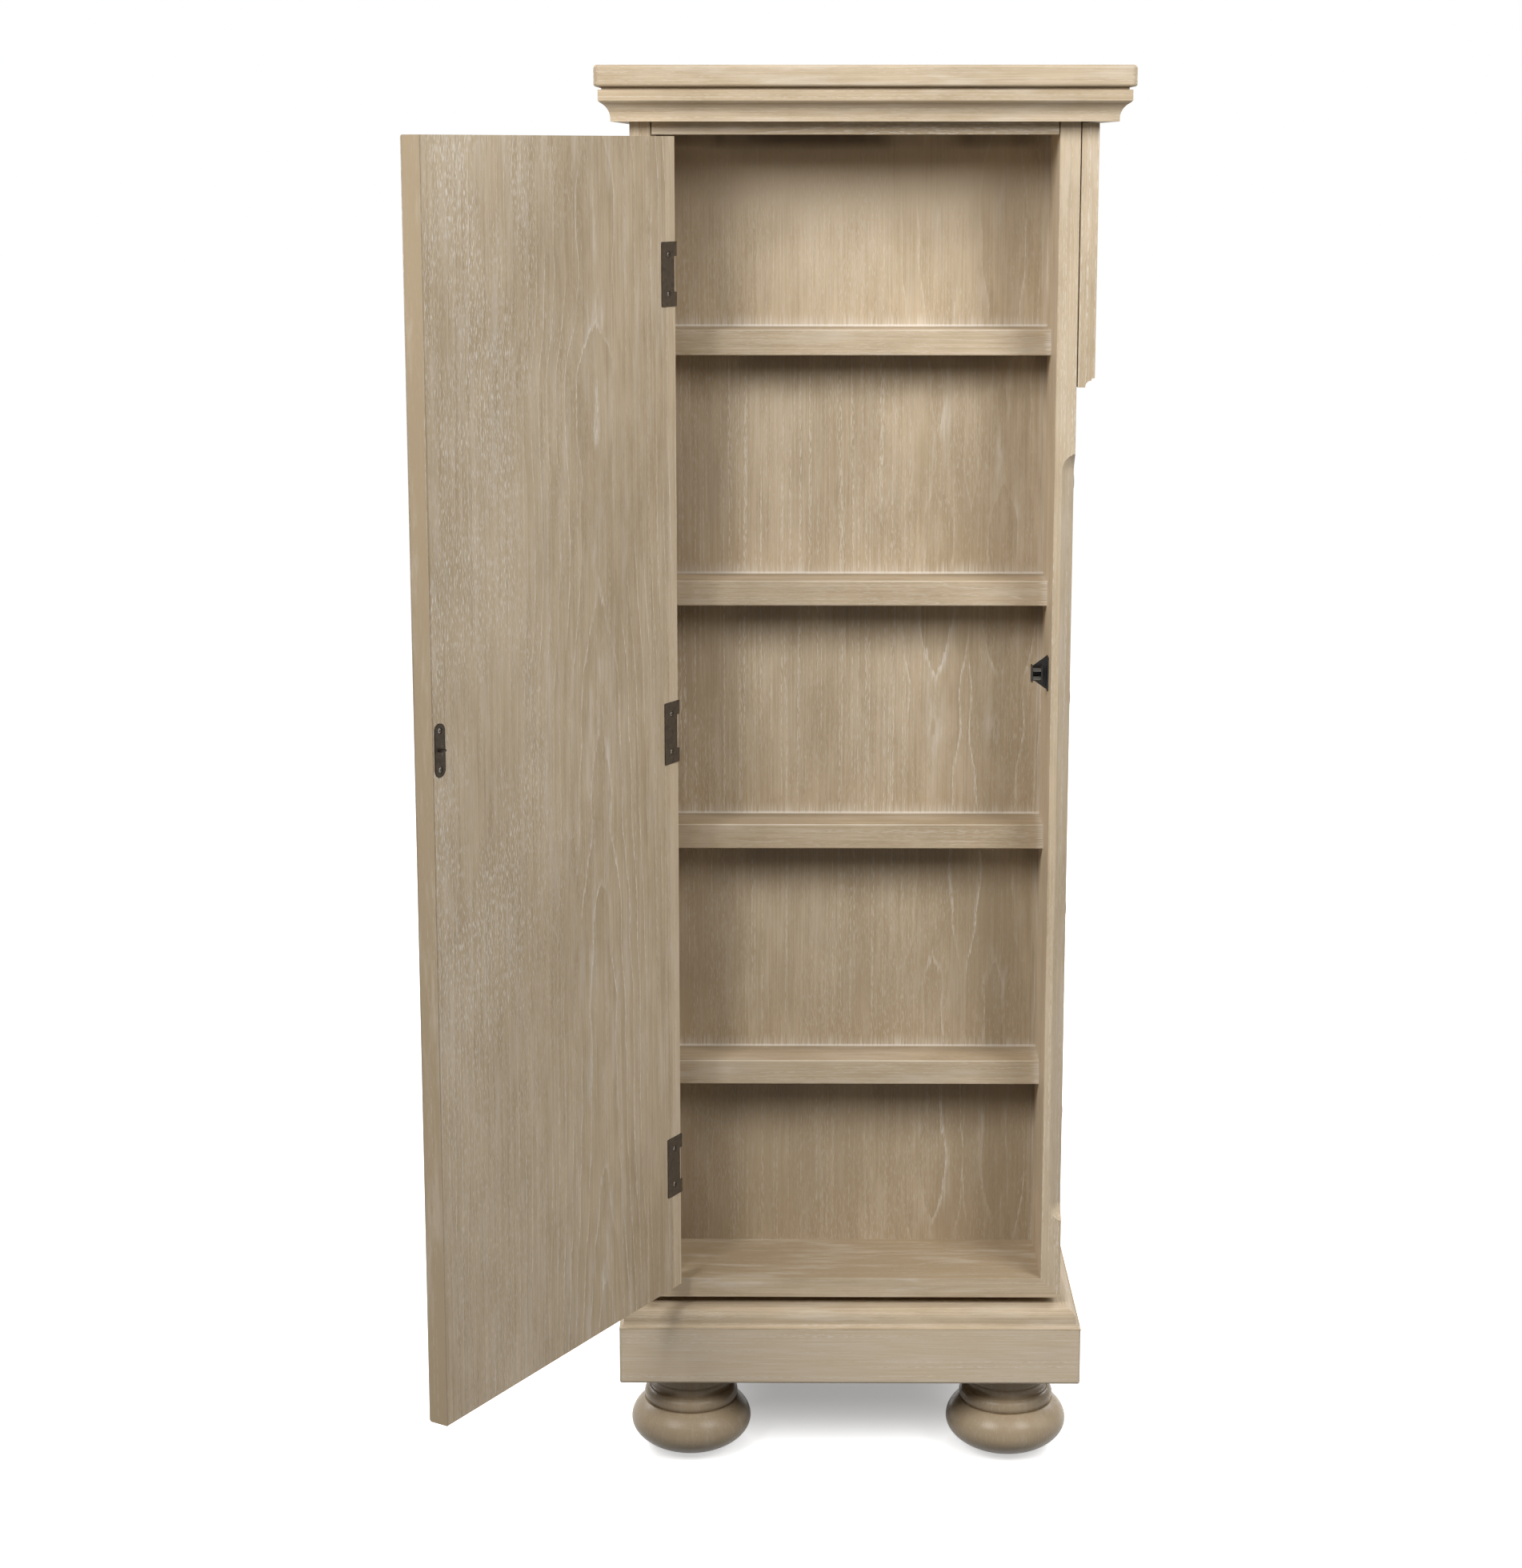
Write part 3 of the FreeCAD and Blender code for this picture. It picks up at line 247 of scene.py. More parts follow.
class ChestStage(bpy.types.PropertyGroup):
    """Camera, floor and lights."""

    camera_place: FloatVectorProperty(name="Camera", description="Where the camera stands", subtype="XYZ",
                                      size=3, unit="LENGTH", default=(-0.062, -3.239, 1.464))
    camera_yaw: FloatProperty(name="Camera Yaw", description="Turn of the camera to the left",
                              unit="ROTATION", default=math.radians(0.363))
    camera_pitch: FloatProperty(name="Camera Pitch", description="How far the camera looks down",
                                unit="ROTATION", default=math.radians(10.172))
    lens: FloatProperty(name="Lens", description="Focal length on a 36 mm sensor", unit="CAMERA",
                        default=65.208)
    shift_x: FloatProperty(name="Shift X", description="Sideways lens shift", default=-0.0104)
    shift_y: FloatProperty(name="Shift Y", description="Upright lens shift", default=-0.08)
    floor_size: FloatProperty(name="Floor Size", description="Side of the floor", unit="LENGTH", default=60.0)
    left_light: FloatProperty(name="Left Light", description="Power of the left softbox", unit="POWER",
                              default=100.0)
    right_light: FloatProperty(name="Right Light", description="Power of the right softbox", unit="POWER",
                               default=74.0)
    side_light: FloatProperty(name="Side Light", description="Power of the light on the door", unit="POWER",
                              default=13.0)
    back_light: FloatProperty(name="Back Light", description="Power of each softbox behind", unit="POWER",
                              default=80.0)
    ambient: FloatProperty(name="Ambient", description="Strength of the light from all round", default=0.015)
    floor_bounce: FloatProperty(name="Floor Bounce", description="How much light the floor sends back",
                                subtype="FACTOR", default=0.14, min=0, max=1)


class Sheet:
    """A node tree being wired, with short calls for the nodes that the finishes share."""

    def __init__(self, tree):
        self.tree = tree
        self.count = 0

    def add(self, kind, **settings):
        """A new node with its settings."""
        made = self.tree.nodes.new(kind)
        for name, value in settings.items():
            setattr(made, name, value)
        row, column = divmod(self.count, NODE_COLUMNS)
        made.location = (NODE_WIDTH * column, -NODE_HEIGHT * row)
        self.count += 1
        return made

    def feed(self, socket, value):
        """A link or a plain value into a socket."""
        if isinstance(value, bpy.types.NodeSocket):
            self.tree.links.new(value, socket)
        else:
            socket.default_value = value

    def math(self, operation, *values):
        """One sum of numbers."""
        made = self.add("ShaderNodeMath", operation=operation)
        for socket, value in zip(made.inputs, values):
            self.feed(socket, value)
        return made.outputs[0]

    def plus(self, first, second):
        """The sum of two numbers."""
        return self.math("ADD", first, second)

    def less(self, first, second):
        """The first number less the second."""
        return self.math("SUBTRACT", first, second)

    def times(self, first, *others):
        """The product of two or more numbers."""
        for other in others:
            first = self.math("MULTIPLY", first, other)
        return first

    def scaled(self, amount, factor, base):
        """A number times a factor, on top of a base."""
        return self.math("MULTIPLY_ADD", amount, factor, base)

    def most(self, first, *others):
        """The largest of two or more numbers."""
        for other in others:
            first = self.math("MAXIMUM", first, other)
        return first

    def above(self, value, limit):
        """One where a number is above a limit, else zero."""
        return self.math("GREATER_THAN", value, limit)

    def below(self, value, limit):
        """One where a number is below a limit, else zero."""
        return self.math("LESS_THAN", value, limit)

    def ramp(self, value, low, high, start=0.0, end=1.0):
        """A smooth step from start to end while a number goes from low to high."""
        made = self.add("ShaderNodeMapRange", interpolation_type="SMOOTHSTEP")
        ends = {"Value": value, "From Min": low, "From Max": high, "To Min": start, "To Max": end}
        for name, number in ends.items():
            self.feed(made.inputs[name], number)
        return made.outputs["Result"]

    def mix(self, amount, first, second, kind="RGBA"):
        """Two colours, or two vectors, mixed by an amount."""
        made = self.add("ShaderNodeMix", data_type=kind)
        self.feed(made.inputs["Factor"], amount)
        self.feed(made.inputs["A"], first)
        self.feed(made.inputs["B"], second)
        return made.outputs["Result"]

    def noise(self, vector, scale, detail=2.0, rough=0.5):
        """Smooth noise, stretched by a scale of three numbers per metre."""
        stretched = self.add("ShaderNodeVectorMath", operation="MULTIPLY")
        self.feed(stretched.inputs[0], vector)
        stretched.inputs[1].default_value = scale
        made = self.add("ShaderNodeTexNoise")
        self.feed(made.inputs["Vector"], stretched.outputs[0])
        made.inputs["Scale"].default_value = 1.0
        made.inputs["Detail"].default_value = detail
        made.inputs["Roughness"].default_value = rough
        return made.outputs[0]

    def swing(self, vector, scale, detail=2.0, rough=0.5):
        """The same noise, with its middle at zero."""
        return self.less(self.noise(vector, scale, detail, rough), 0.5)

    def split(self, vector):
        """The three numbers of a vector."""
        made = self.add("ShaderNodeSeparateXYZ")
        self.feed(made.inputs[0], vector)
        return made.outputs[0], made.outputs[1], made.outputs[2]

    def join(self, x, y, z):
        """A vector of three numbers."""
        made = self.add("ShaderNodeCombineXYZ")
        for socket, value in zip(made.inputs, (x, y, z)):
            self.feed(socket, value)
        return made.outputs[0]

    def place(self):
        """The point on the piece, in metres."""
        return self.add("ShaderNodeTexCoord").outputs["Object"]

    def turned(self, vector, grain, across, shift):
        """A point turned so that X runs across the board's face, Y into it and Z along the grain."""
        rows = Matrix((across, grain.cross(across), grain))
        made = self.add("ShaderNodeMapping", vector_type="POINT")
        self.feed(made.inputs["Vector"], vector)
        made.inputs["Rotation"].default_value = rows.to_euler("XYZ")
        made.inputs["Location"].default_value = shift
        return made.outputs[0]


def linear(colour, factor=1.0):
    """A colour property, darkened or brightened, as the four numbers of a socket."""
    return tuple(min(1.0, channel * factor) for channel in colour) + (1.0,)


def limed_grain(wood):
    """Makes the node group that draws limed, open-grained wood: planks, growth rings, pores and wash."""
    group = bpy.data.node_groups.new("Limed grain", "ShaderNodeTree")
    group.interface.new_socket("Vector", in_out="INPUT", socket_type="NodeSocketVector")
    for name, value in GRAIN_SETTINGS.items():
        socket = group.interface.new_socket(name, in_out="INPUT", socket_type="NodeSocketFloat")
        socket.default_value = value
    outputs = {"Color": "NodeSocketColor", "Roughness": "NodeSocketFloat", "Height": "NodeSocketFloat"}
    for name, kind in outputs.items():
        group.interface.new_socket(name, in_out="OUTPUT", socket_type=kind)
    sheet = Sheet(group)
    given = sheet.add("NodeGroupInput").outputs
    point = given["Vector"]
    u, w, v = sheet.split(point)

    # Planks: each has its own heart, its own tone and its own place along the tree.
    number = sheet.math("FLOOR", sheet.math("DIVIDE", u, given["Plank"]))
    luck = sheet.add("ShaderNodeTexWhiteNoise", noise_dimensions="2D")
    sheet.feed(luck.inputs["Vector"], sheet.join(number, given["Seed"], 0.0))
    lots = sheet.split(luck.outputs["Color"])
    heart_luck, depth_luck, tone_luck = [sheet.less(lot, 0.5) for lot in lots]
    middle = sheet.times(sheet.plus(number, 0.5), given["Plank"])
    heart = sheet.plus(given["Heart"], sheet.times(heart_luck, given["Spread"]))
    off_middle = sheet.less(sheet.less(u, middle), heart)

    # Growth rings round a heart that leans and wanders, so flat faces show long arches and edges show lines.
    own = sheet.join(sheet.times(number, 7.3), given["Seed"], v)
    wander = sheet.swing(own, (1.0, 3.1, 4.2), 2.0)
    sway = sheet.swing(point, (4.0, 4.0, 2.4), 2.0)
    ripple = sheet.swing(point, (60.0, 60.0, 11.0), 3.0)
    tooth = sheet.swing(point, (420.0, 420.0, 18.0), 2.0)
    side = sheet.scaled(sway, 0.014, off_middle)
    lean = sheet.scaled(tone_luck, sheet.times(given["Spread"], 0.3), given["Lean"])
    depth = sheet.plus(w, sheet.scaled(depth_luck, 0.045, 0.068))
    depth = sheet.plus(depth, sheet.scaled(v, lean, sheet.times(wander, 0.040)))
    pointed = sheet.times(sheet.math("ABSOLUTE", side), 0.022)
    radius = sheet.scaled(side, side, sheet.scaled(depth, depth, pointed))
    radius = sheet.scaled(ripple, 0.0030, sheet.math("SQRT", radius))
    radius = sheet.scaled(tooth, 0.0022, radius)
    year = sheet.math("FRACT", sheet.math("DIVIDE", radius, wood.ring_gap))
    early = sheet.times(sheet.ramp(year, 0.0, 0.03), sheet.ramp(year, 0.04, 0.17, 1.0, 0.0))
    late = sheet.ramp(year, 0.35, 0.95)
    flat_cut = sheet.ramp(sheet.math("ABSOLUTE", side), 0.006, 0.036, 1.0, 0.0)

    # The lime sits in open pores, which lie in crowds and along the early wood, and in long fine threads.
    pores = sheet.noise(point, (1 / wood.pore_gap, 1 / wood.pore_gap, 1 / wood.pore_length), 1.0)
    crowd = sheet.ramp(sheet.noise(point, (16.0, 16.0, 5.0), 3.0, 0.6), 0.30, 0.62)
    flecks = sheet.times(sheet.ramp(pores, 0.55, 0.64), crowd, given["Flecks"])
    broken = sheet.ramp(sheet.noise(point, (24.0, 24.0, 4.0), 2.0), 0.38, 0.62)
    veins = sheet.times(early, sheet.ramp(pores, 0.40, 0.58, 0.20, 1.0), broken, given["Figure"])
    threads = sheet.ramp(sheet.noise(point, (380.0, 380.0, 2.2), 1.0), 0.56, 0.66)
    threads = sheet.times(threads, sheet.ramp(pores, 0.44, 0.60))

    # Fibres, soft clouds of tone and the dry-brushed wash, thickest where the cut runs flat through a ring.
    fibre = sheet.swing(point, (620.0, 620.0, 9.0), 3.0)
    cloud = sheet.swing(point, (9.0, 9.0, 3.0), 3.0)
    patch = sheet.swing(point, (38.0, 38.0, 14.0), 4.0, 0.6)
    brushed = sheet.ramp(sheet.noise(point, (70.0, 70.0, 9.0), 5.0, 0.65), 0.47, 0.72)
    smeared = sheet.times(flat_cut, given["Figure"], sheet.ramp(year, 0.0, 0.55, 0.8, 0.0))
    streak = sheet.swing(point, (700.0, 700.0, 16.0), 2.0)
    tone = sheet.plus(sheet.times(fibre, 0.90), sheet.times(cloud, 1.15))
    tone = sheet.scaled(patch, 0.95, tone)
    tone = sheet.scaled(tone_luck, sheet.times(given["Spread"], 1.2), tone)
    tone = sheet.less(tone, sheet.times(late, given["Figure"], 0.10))
    # The tone input also carries painted shade and painted light, such as a back panel painted darker low
    # down.
    tone = sheet.plus(sheet.plus(tone, given["Tone"]), 0.50)
    colour = sheet.mix(sheet.ramp(tone, 0.0, 1.0), linear(wood.dark), linear(wood.light))
    wash = sheet.scaled(smeared, 0.6, sheet.times(given["Wash"], 0.30))
    # The haze input also carries painted highlights, such as the pale line along a shelf's front arris.
    dust_and_highlight = sheet.ramp(sheet.scaled(streak, 0.8, given["Haze"]), 0.35, 1.05)
    lime = sheet.most(sheet.times(flecks, 0.60), sheet.times(veins, 0.62))
    lime = sheet.most(lime, sheet.times(threads, given["Threads"], 0.55))
    lime = sheet.most(lime, sheet.times(brushed, wash), dust_and_highlight)
    colour = sheet.mix(lime, colour, linear(wood.lime))
    # The glaze input also carries painted shade, such as under the shelves and beside the closet's walls.
    stain_and_shade = sheet.times(given["Glaze"], sheet.ramp(cloud, -0.30, 0.10))
    colour = sheet.mix(stain_and_shade, colour, linear(wood.glaze_and_shade))

    # Lime is duller than bare wood, and open pores lie lower than the fibres.
    gloss = sheet.scaled(cloud, 0.22, sheet.scaled(lime, 0.22, 0.50))
    gloss = sheet.scaled(given["Polish"], -0.20, gloss)
    height = sheet.less(sheet.times(fibre, 0.35), sheet.times(flecks, 0.5))
    height = sheet.less(height, sheet.times(veins, 0.4))
    out = sheet.add("NodeGroupOutput").inputs
    for name, value in zip(outputs, (colour, gloss, height)):
        sheet.feed(out[name], value)


def blank_material(name):
    """A material with an empty tree, its sheet, its shader and its output."""
    material = bpy.data.materials.new(name)
    material.use_nodes = True
    material.node_tree.nodes.clear()
    sheet = Sheet(material.node_tree)
    shader = sheet.add("ShaderNodeBsdfPrincipled")
    output = sheet.add("ShaderNodeOutputMaterial")
    material.node_tree.links.new(shader.outputs[0], output.inputs["Surface"])
    return material, sheet, shader


def bumped(sheet, shader, height, distance, strength):
    """Fine relief on a shader."""
    bump = sheet.add("ShaderNodeBump")
    bump.inputs["Distance"].default_value = distance
    bump.inputs["Strength"].default_value = strength
    sheet.feed(bump.inputs["Height"], height)
    sheet.feed(shader.inputs["Normal"], bump.outputs[0])


def limed_material(name, wood, wiring, settings):
    """One board's limed finish. The wiring gives its grain coordinates, its marks and the painted light and
    shade on it.
    """
    material, sheet, shader = blank_material(name)
    grain = sheet.add("ShaderNodeGroup", node_tree=bpy.data.node_groups["Limed grain"])
    for socket, value in {**settings, **wiring(sheet)}.items():
        sheet.feed(grain.inputs[socket], value)
    sheet.feed(shader.inputs["Base Color"], grain.outputs["Color"])
    sheet.feed(shader.inputs["Roughness"], grain.outputs["Roughness"])
    shader.inputs["Specular IOR Level"].default_value = 0.25
    bumped(sheet, shader, grain.outputs["Height"], distance=wood.relief, strength=0.5)
    return material


def board_wiring(grain, across, shift, marks_and_shade=None):
    """Grain coordinates for one straight board, and its marks and the painted light and shade on it."""
    def wiring(sheet):
        point = sheet.place()
        sockets = marks_and_shade(sheet, point) if marks_and_shade else {}
        return {"Vector": sheet.turned(point, AXES[grain], AXES[across], shift), **sockets}
    return wiring


def mitred_wiring(shift, middle, half):
    """Grain coordinates for four mitred lengths: along X in front and behind, along Y at the sides."""
    def wiring(sheet):
        point = sheet.place()
        x, y, _ = sheet.split(point)
        past_x = sheet.less(sheet.math("ABSOLUTE", sheet.less(x, middle[0])), half[0])
        past_y = sheet.less(sheet.math("ABSOLUTE", sheet.less(y, middle[1])), half[1])
        at_side = sheet.above(past_x, past_y)
        ahead = sheet.turned(point, AXES["X"], AXES["Z"], shift)
        beside = sheet.turned(point, AXES["Y"], AXES["Z"], shift)
        return {"Vector": sheet.mix(at_side, ahead, beside, "VECTOR")}
    return wiring


def lipped_wiring(shift, low, high):
    """Grain coordinates for a drawer front: along Y on its face, upright on the lippings of its ends."""
    def wiring(sheet):
        point = sheet.place()
        y = sheet.split(point)[1]
        at_end = sheet.most(sheet.below(y, low.y + LIPPING), sheet.above(y, high.y - LIPPING))
        face = sheet.turned(point, AXES["Y"], AXES["Z"], shift)
        end = sheet.turned(point, AXES["Z"], AXES["X"], shift)
        return {"Vector": sheet.mix(at_end, face, end, "VECTOR")}
    return wiring


def lime_and_shade_on_back(sheet, point):
    """Lime along the shelves and the right wall; painted shade beside the walls and under the shelves and the
    rail; and the lie of the grain, its tone painted darker low down and lighter near the rail.
    """
    x, _, z = sheet.split(point)
    low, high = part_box("closet_back")
    shelves = [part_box(shelf) for shelf in SHELVES]
    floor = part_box("floor_board")[1].z
    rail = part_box("head_rail")[0].z

    # Lime: a band along the right wall, and a line on the floor and each shelf that fades upwards.
    haze = sheet.ramp(x, high.x - 0.022, high.x, 0.0, 0.6)
    for top, share in [(floor, 0.4)] + [(shelf[1].z, 1.0) for shelf in shelves]:
        line = sheet.ramp(z, top + 0.001, top + 0.006, share, 0.0)
        fade = sheet.most(line, sheet.ramp(z, top, top + 0.034, 0.62 * share, 0.0))
        haze = sheet.most(haze, sheet.times(fade, sheet.above(z, top - 0.01)))

    # Painted shade: beside both walls, a line under the rail, and under each shelf, where it is deeper lower
    # down.
    glaze_and_shade = sheet.most(sheet.ramp(x, low.x + 0.02, low.x + 0.105, 0.50, 0.0),
                       sheet.ramp(x, high.x - 0.090, high.x - 0.020, 0.0, 0.19))
    for under, share in [(shelf[0].z, 0.66) for shelf in shelves] + [(rail, 0.35)]:
        shade = sheet.ramp(z, under - 0.130 + 0.060 * under, under, 0.0, share)
        glaze_and_shade = sheet.most(glaze_and_shade, sheet.times(shade, sheet.below(z, under + 0.01)))
    glaze_and_shade = sheet.most(glaze_and_shade, sheet.ramp(z, rail - 0.022, rail - 0.004))

    # Grain: a heart on each side of a seam, plainer to the left and at the top. Its tone is painted shade low
    # down and painted light near the rail.
    seam = 0.132
    quiet = (1.20, 1.32)
    heart = sheet.scaled(sheet.above(x, seam), 0.070, 0.095)
    figure = sheet.times(sheet.ramp(x, 0.02, 0.09, 0.35, 1.3), sheet.ramp(z, *quiet, 1.0, 0.65))
    threads = sheet.times(sheet.ramp(x, 0.02, 0.12, 1.0, 0.3), sheet.ramp(z, *quiet, 1.0, 0.5),
                          sheet.ramp(z, 0.40, 0.75, 0.5, 1.0))
    tone = sheet.plus(sheet.ramp(z, 0.25, 1.0, -0.35, 0.0),
                      sheet.ramp(z, rail - 0.11, rail - 0.05, 0.0, 0.5))
    return {"Haze": haze, "Glaze": glaze_and_shade, "Heart": heart, "Figure": figure, "Threads": threads, "Tone": tone}


def lime_highlight_and_shade_on_shelf(node):
    """Painted highlight along a shelf's front arris, lime at its right end, and painted shade at its back and
    left end.
    """
    def marks_and_shade(sheet, point):
        x, y, z = sheet.split(point)
        low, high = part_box(node)
        # Painted shade at the back, where the shelf meets the back panel, and at the left end.
        back = sheet.ramp(y, high.y - 0.030, high.y, 0.0, 0.46)
        left = sheet.ramp(x, low.x, low.x + 0.090, 0.33, 0.0)
        right = sheet.ramp(x, high.x - 0.020, high.x, 0.0, 0.7)
        # Painted highlight: a thin pale line along the top of the front face.
        arris = sheet.ramp(z, high.z - 0.0020, high.z - 0.0008, 0.0, 0.7)
        arris = sheet.times(arris, sheet.below(y, low.y + 0.0005))
        return {"Haze": sheet.most(arris, right), "Glaze": sheet.most(back, left)}
    return marks_and_shade


def painted_shade_on_floor(sheet, point):
    """Painted shade: the floor board's top is darker than its slightly lighter front edge."""
    y = sheet.split(point)[1]
    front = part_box("floor_board")[0].y
    return {"Tone": sheet.ramp(y, front + 0.0002, front + 0.0030, 0.1, -0.5)}


def marks_and_shade_on_door(sheet, point):
    """Flecks that crowd towards the door's free side, a glazed arris, and a plain edge with painted shade."""
    from_pin = sheet.add("ShaderNodeVectorMath", operation="SUBTRACT")
    sheet.feed(from_pin.inputs[0], point)
    from_pin.inputs[1].default_value = DOOR_PIVOT
    along = sheet.add("ShaderNodeVectorMath", operation="DOT_PRODUCT")
    sheet.feed(along.inputs[0], from_pin.outputs[0])
    along.inputs[1].default_value = ACROSS_DOOR
    reach = along.outputs["Value"]
    height = sheet.split(point)[2]
    edge = DOOR_WIDTH + DOOR_START
    arris = sheet.times(sheet.ramp(reach, edge - 0.0024, edge - 0.0008), sheet.below(reach, edge - 0.0002))
    at_edge = sheet.above(reach, edge - 0.0003)
    at_pins = sheet.ramp(reach, DOOR_START + 0.014, DOOR_START + 0.018, 0.40, 0.0)
    flecks = sheet.less(sheet.ramp(reach, 0.12, 0.34, 0.25, 1.6), sheet.times(at_edge, 1.5))
    flecks = sheet.times(flecks, sheet.ramp(height, 0.45, 0.80, 0.45, 1.0))
    # Painted shade: the door's edge is darker in glaze and tone.
    glaze_and_shade = sheet.scaled(at_edge, 0.10, sheet.times(arris, 0.5))
    figure = sheet.scaled(at_edge, -1.1, 1.3)
    tone = sheet.scaled(at_edge, -0.85, at_pins)
    return {"Flecks": flecks, "Glaze": glaze_and_shade, "Figure": figure, "Tone": tone}


def gathered_on_post(sheet, point):
    """Lime on the near corner post, and a paler stop chamfer."""
    x, y, _ = sheet.split(point)
    low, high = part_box("near_side")
    skin = 0.0004
    inside = sheet.times(sheet.below(x, high.x - skin), sheet.above(y, low.y + skin))
    corner = sheet.above(sheet.less(x, y), high.x - low.y - CHAMFER - 0.001)
    return {"Haze": sheet.scaled(sheet.times(inside, corner), 0.14, 0.22)}


def plain_wood_material(wood):
    """Unlimed close-grained wood for the drawer boxes and the inside of the plinth."""
    material, sheet, shader = blank_material("Plain drawer wood")
    point = sheet.turned(sheet.place(), AXES["X"], AXES["Y"], PLAIN_CUT)
    fibre = sheet.noise(point, (260.0, 260.0, 5.0), 4.0)
    cloud = sheet.noise(point, (14.0, 14.0, 2.0), 2.0)
    shade = sheet.plus(sheet.times(fibre, 0.5), sheet.times(cloud, 0.5))
    colour = sheet.mix(sheet.ramp(shade, 0.3, 0.7), linear(wood.inside, 0.72), linear(wood.inside))
    sheet.feed(shader.inputs["Base Color"], colour)
    sheet.feed(shader.inputs["Roughness"], sheet.ramp(cloud, 0.2, 0.8, 0.55, 0.72))
    bumped(sheet, shader, fibre, distance=0.0003, strength=0.3)
    return material


def metal_material(name, colour, roughness, wear, metallic=1.0):
    """Aged metal: brushed lines, cloudy patina and brighter worn patches."""
    material, sheet, shader = blank_material(name)
    point = sheet.place()
    brushed = sheet.noise(point, (900.0, 900.0, 40.0), 2.0)
    patina = sheet.noise(point, (110.0, 110.0, 110.0), 4.0)
    tone = sheet.mix(sheet.ramp(patina, 0.30, 0.55), linear(colour, 0.72), linear(colour))
    tone = sheet.mix(sheet.ramp(patina, 0.58, 0.80), tone, linear(colour, 1.0 + wear))
    sheet.feed(shader.inputs["Base Color"], tone)
    shader.inputs["Metallic"].default_value = metallic
    gloss = sheet.ramp(patina, 0.25, 0.75, roughness + 0.10, roughness - 0.08)
    sheet.feed(shader.inputs["Roughness"], gloss)
    bumped(sheet, shader, brushed, distance=0.00008, strength=0.4)
    return material


def mirror_material(hardware):
    """Silvered glass, very slightly clouded."""
    material, sheet, shader = blank_material("Silvered glass")
    cloud = sheet.noise(sheet.place(), (6.0, 6.0, 6.0), 2.0)
    colour = sheet.mix(cloud, linear(hardware.silver, 0.97), linear(hardware.silver))
    sheet.feed(shader.inputs["Base Color"], colour)
    shader.inputs["Metallic"].default_value = 1.0
    sheet.feed(shader.inputs["Roughness"], sheet.ramp(cloud, 0.0, 1.0, 0.012, 0.03))
    return material


def cut_place(start, step, index):
    """Where the board of a given number is cut from its tree."""
    return tuple(first + each * index for first, each in zip(start, step))


def wear_material(node, material):
    """Gives a CAD node one material."""
    mesh = NODES[node].data
    mesh.materials.clear()
    mesh.materials.append(material)


def start_clean():
    """Leaves edit mode with nothing selected."""
    if bpy.context.object and bpy.context.object.mode != "OBJECT":
        bpy.ops.object.mode_set(mode="OBJECT")
    bpy.ops.object.select_all(action="DESELECT")


def take_up(piece):
    """Selects one piece alone and makes it active."""
    start_clean()
    piece.select_set(True)
    bpy.context.view_layer.objects.active = piece


def edit_faces(piece, direction):
    """Goes into edit mode with only those faces of the active piece selected that look in a direction."""
    bpy.ops.object.mode_set(mode="EDIT")
    bpy.ops.mesh.select_all(action="DESELECT")
    bpy.ops.object.mode_set(mode="OBJECT")
    for face in piece.data.polygons:
        face.select = face.normal.dot(direction) > FACING
    bpy.ops.object.mode_set(mode="EDIT")


def settle(piece, name, body, slot, *nodes):
    """Names a finished piece, ties it to its body and hides the nodes that it stands for."""
    take_up(piece)
    bpy.ops.object.transform_apply(location=True, rotation=True, scale=True)
    piece.name = name
    piece.data.name = name
    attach(piece, body)
    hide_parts(*nodes)


def seen_and_felt(sheet, seen, felt):
    """One shader for the eye and the mirror, and another for the light that a surface sends on."""
    paths = sheet.add("ShaderNodeLightPath").outputs
    pick = sheet.add("ShaderNodeMixShader")
    looks = sheet.most(paths["Is Camera Ray"], paths["Is Glossy Ray"], paths["Is Transmission Ray"])
    sheet.feed(pick.inputs[0], looks)
    sheet.feed(pick.inputs[1], felt.outputs[0])
    sheet.feed(pick.inputs[2], seen.outputs[0])
    return pick.outputs[0]


def door_place(along, into, height):
    """A point on the open door: along its width and into its thickness from the hinge pins."""
    return Vector((DOOR_PIVOT.x, DOOR_PIVOT.y, height)) + ACROSS_DOOR * along + INTO_DOOR * into


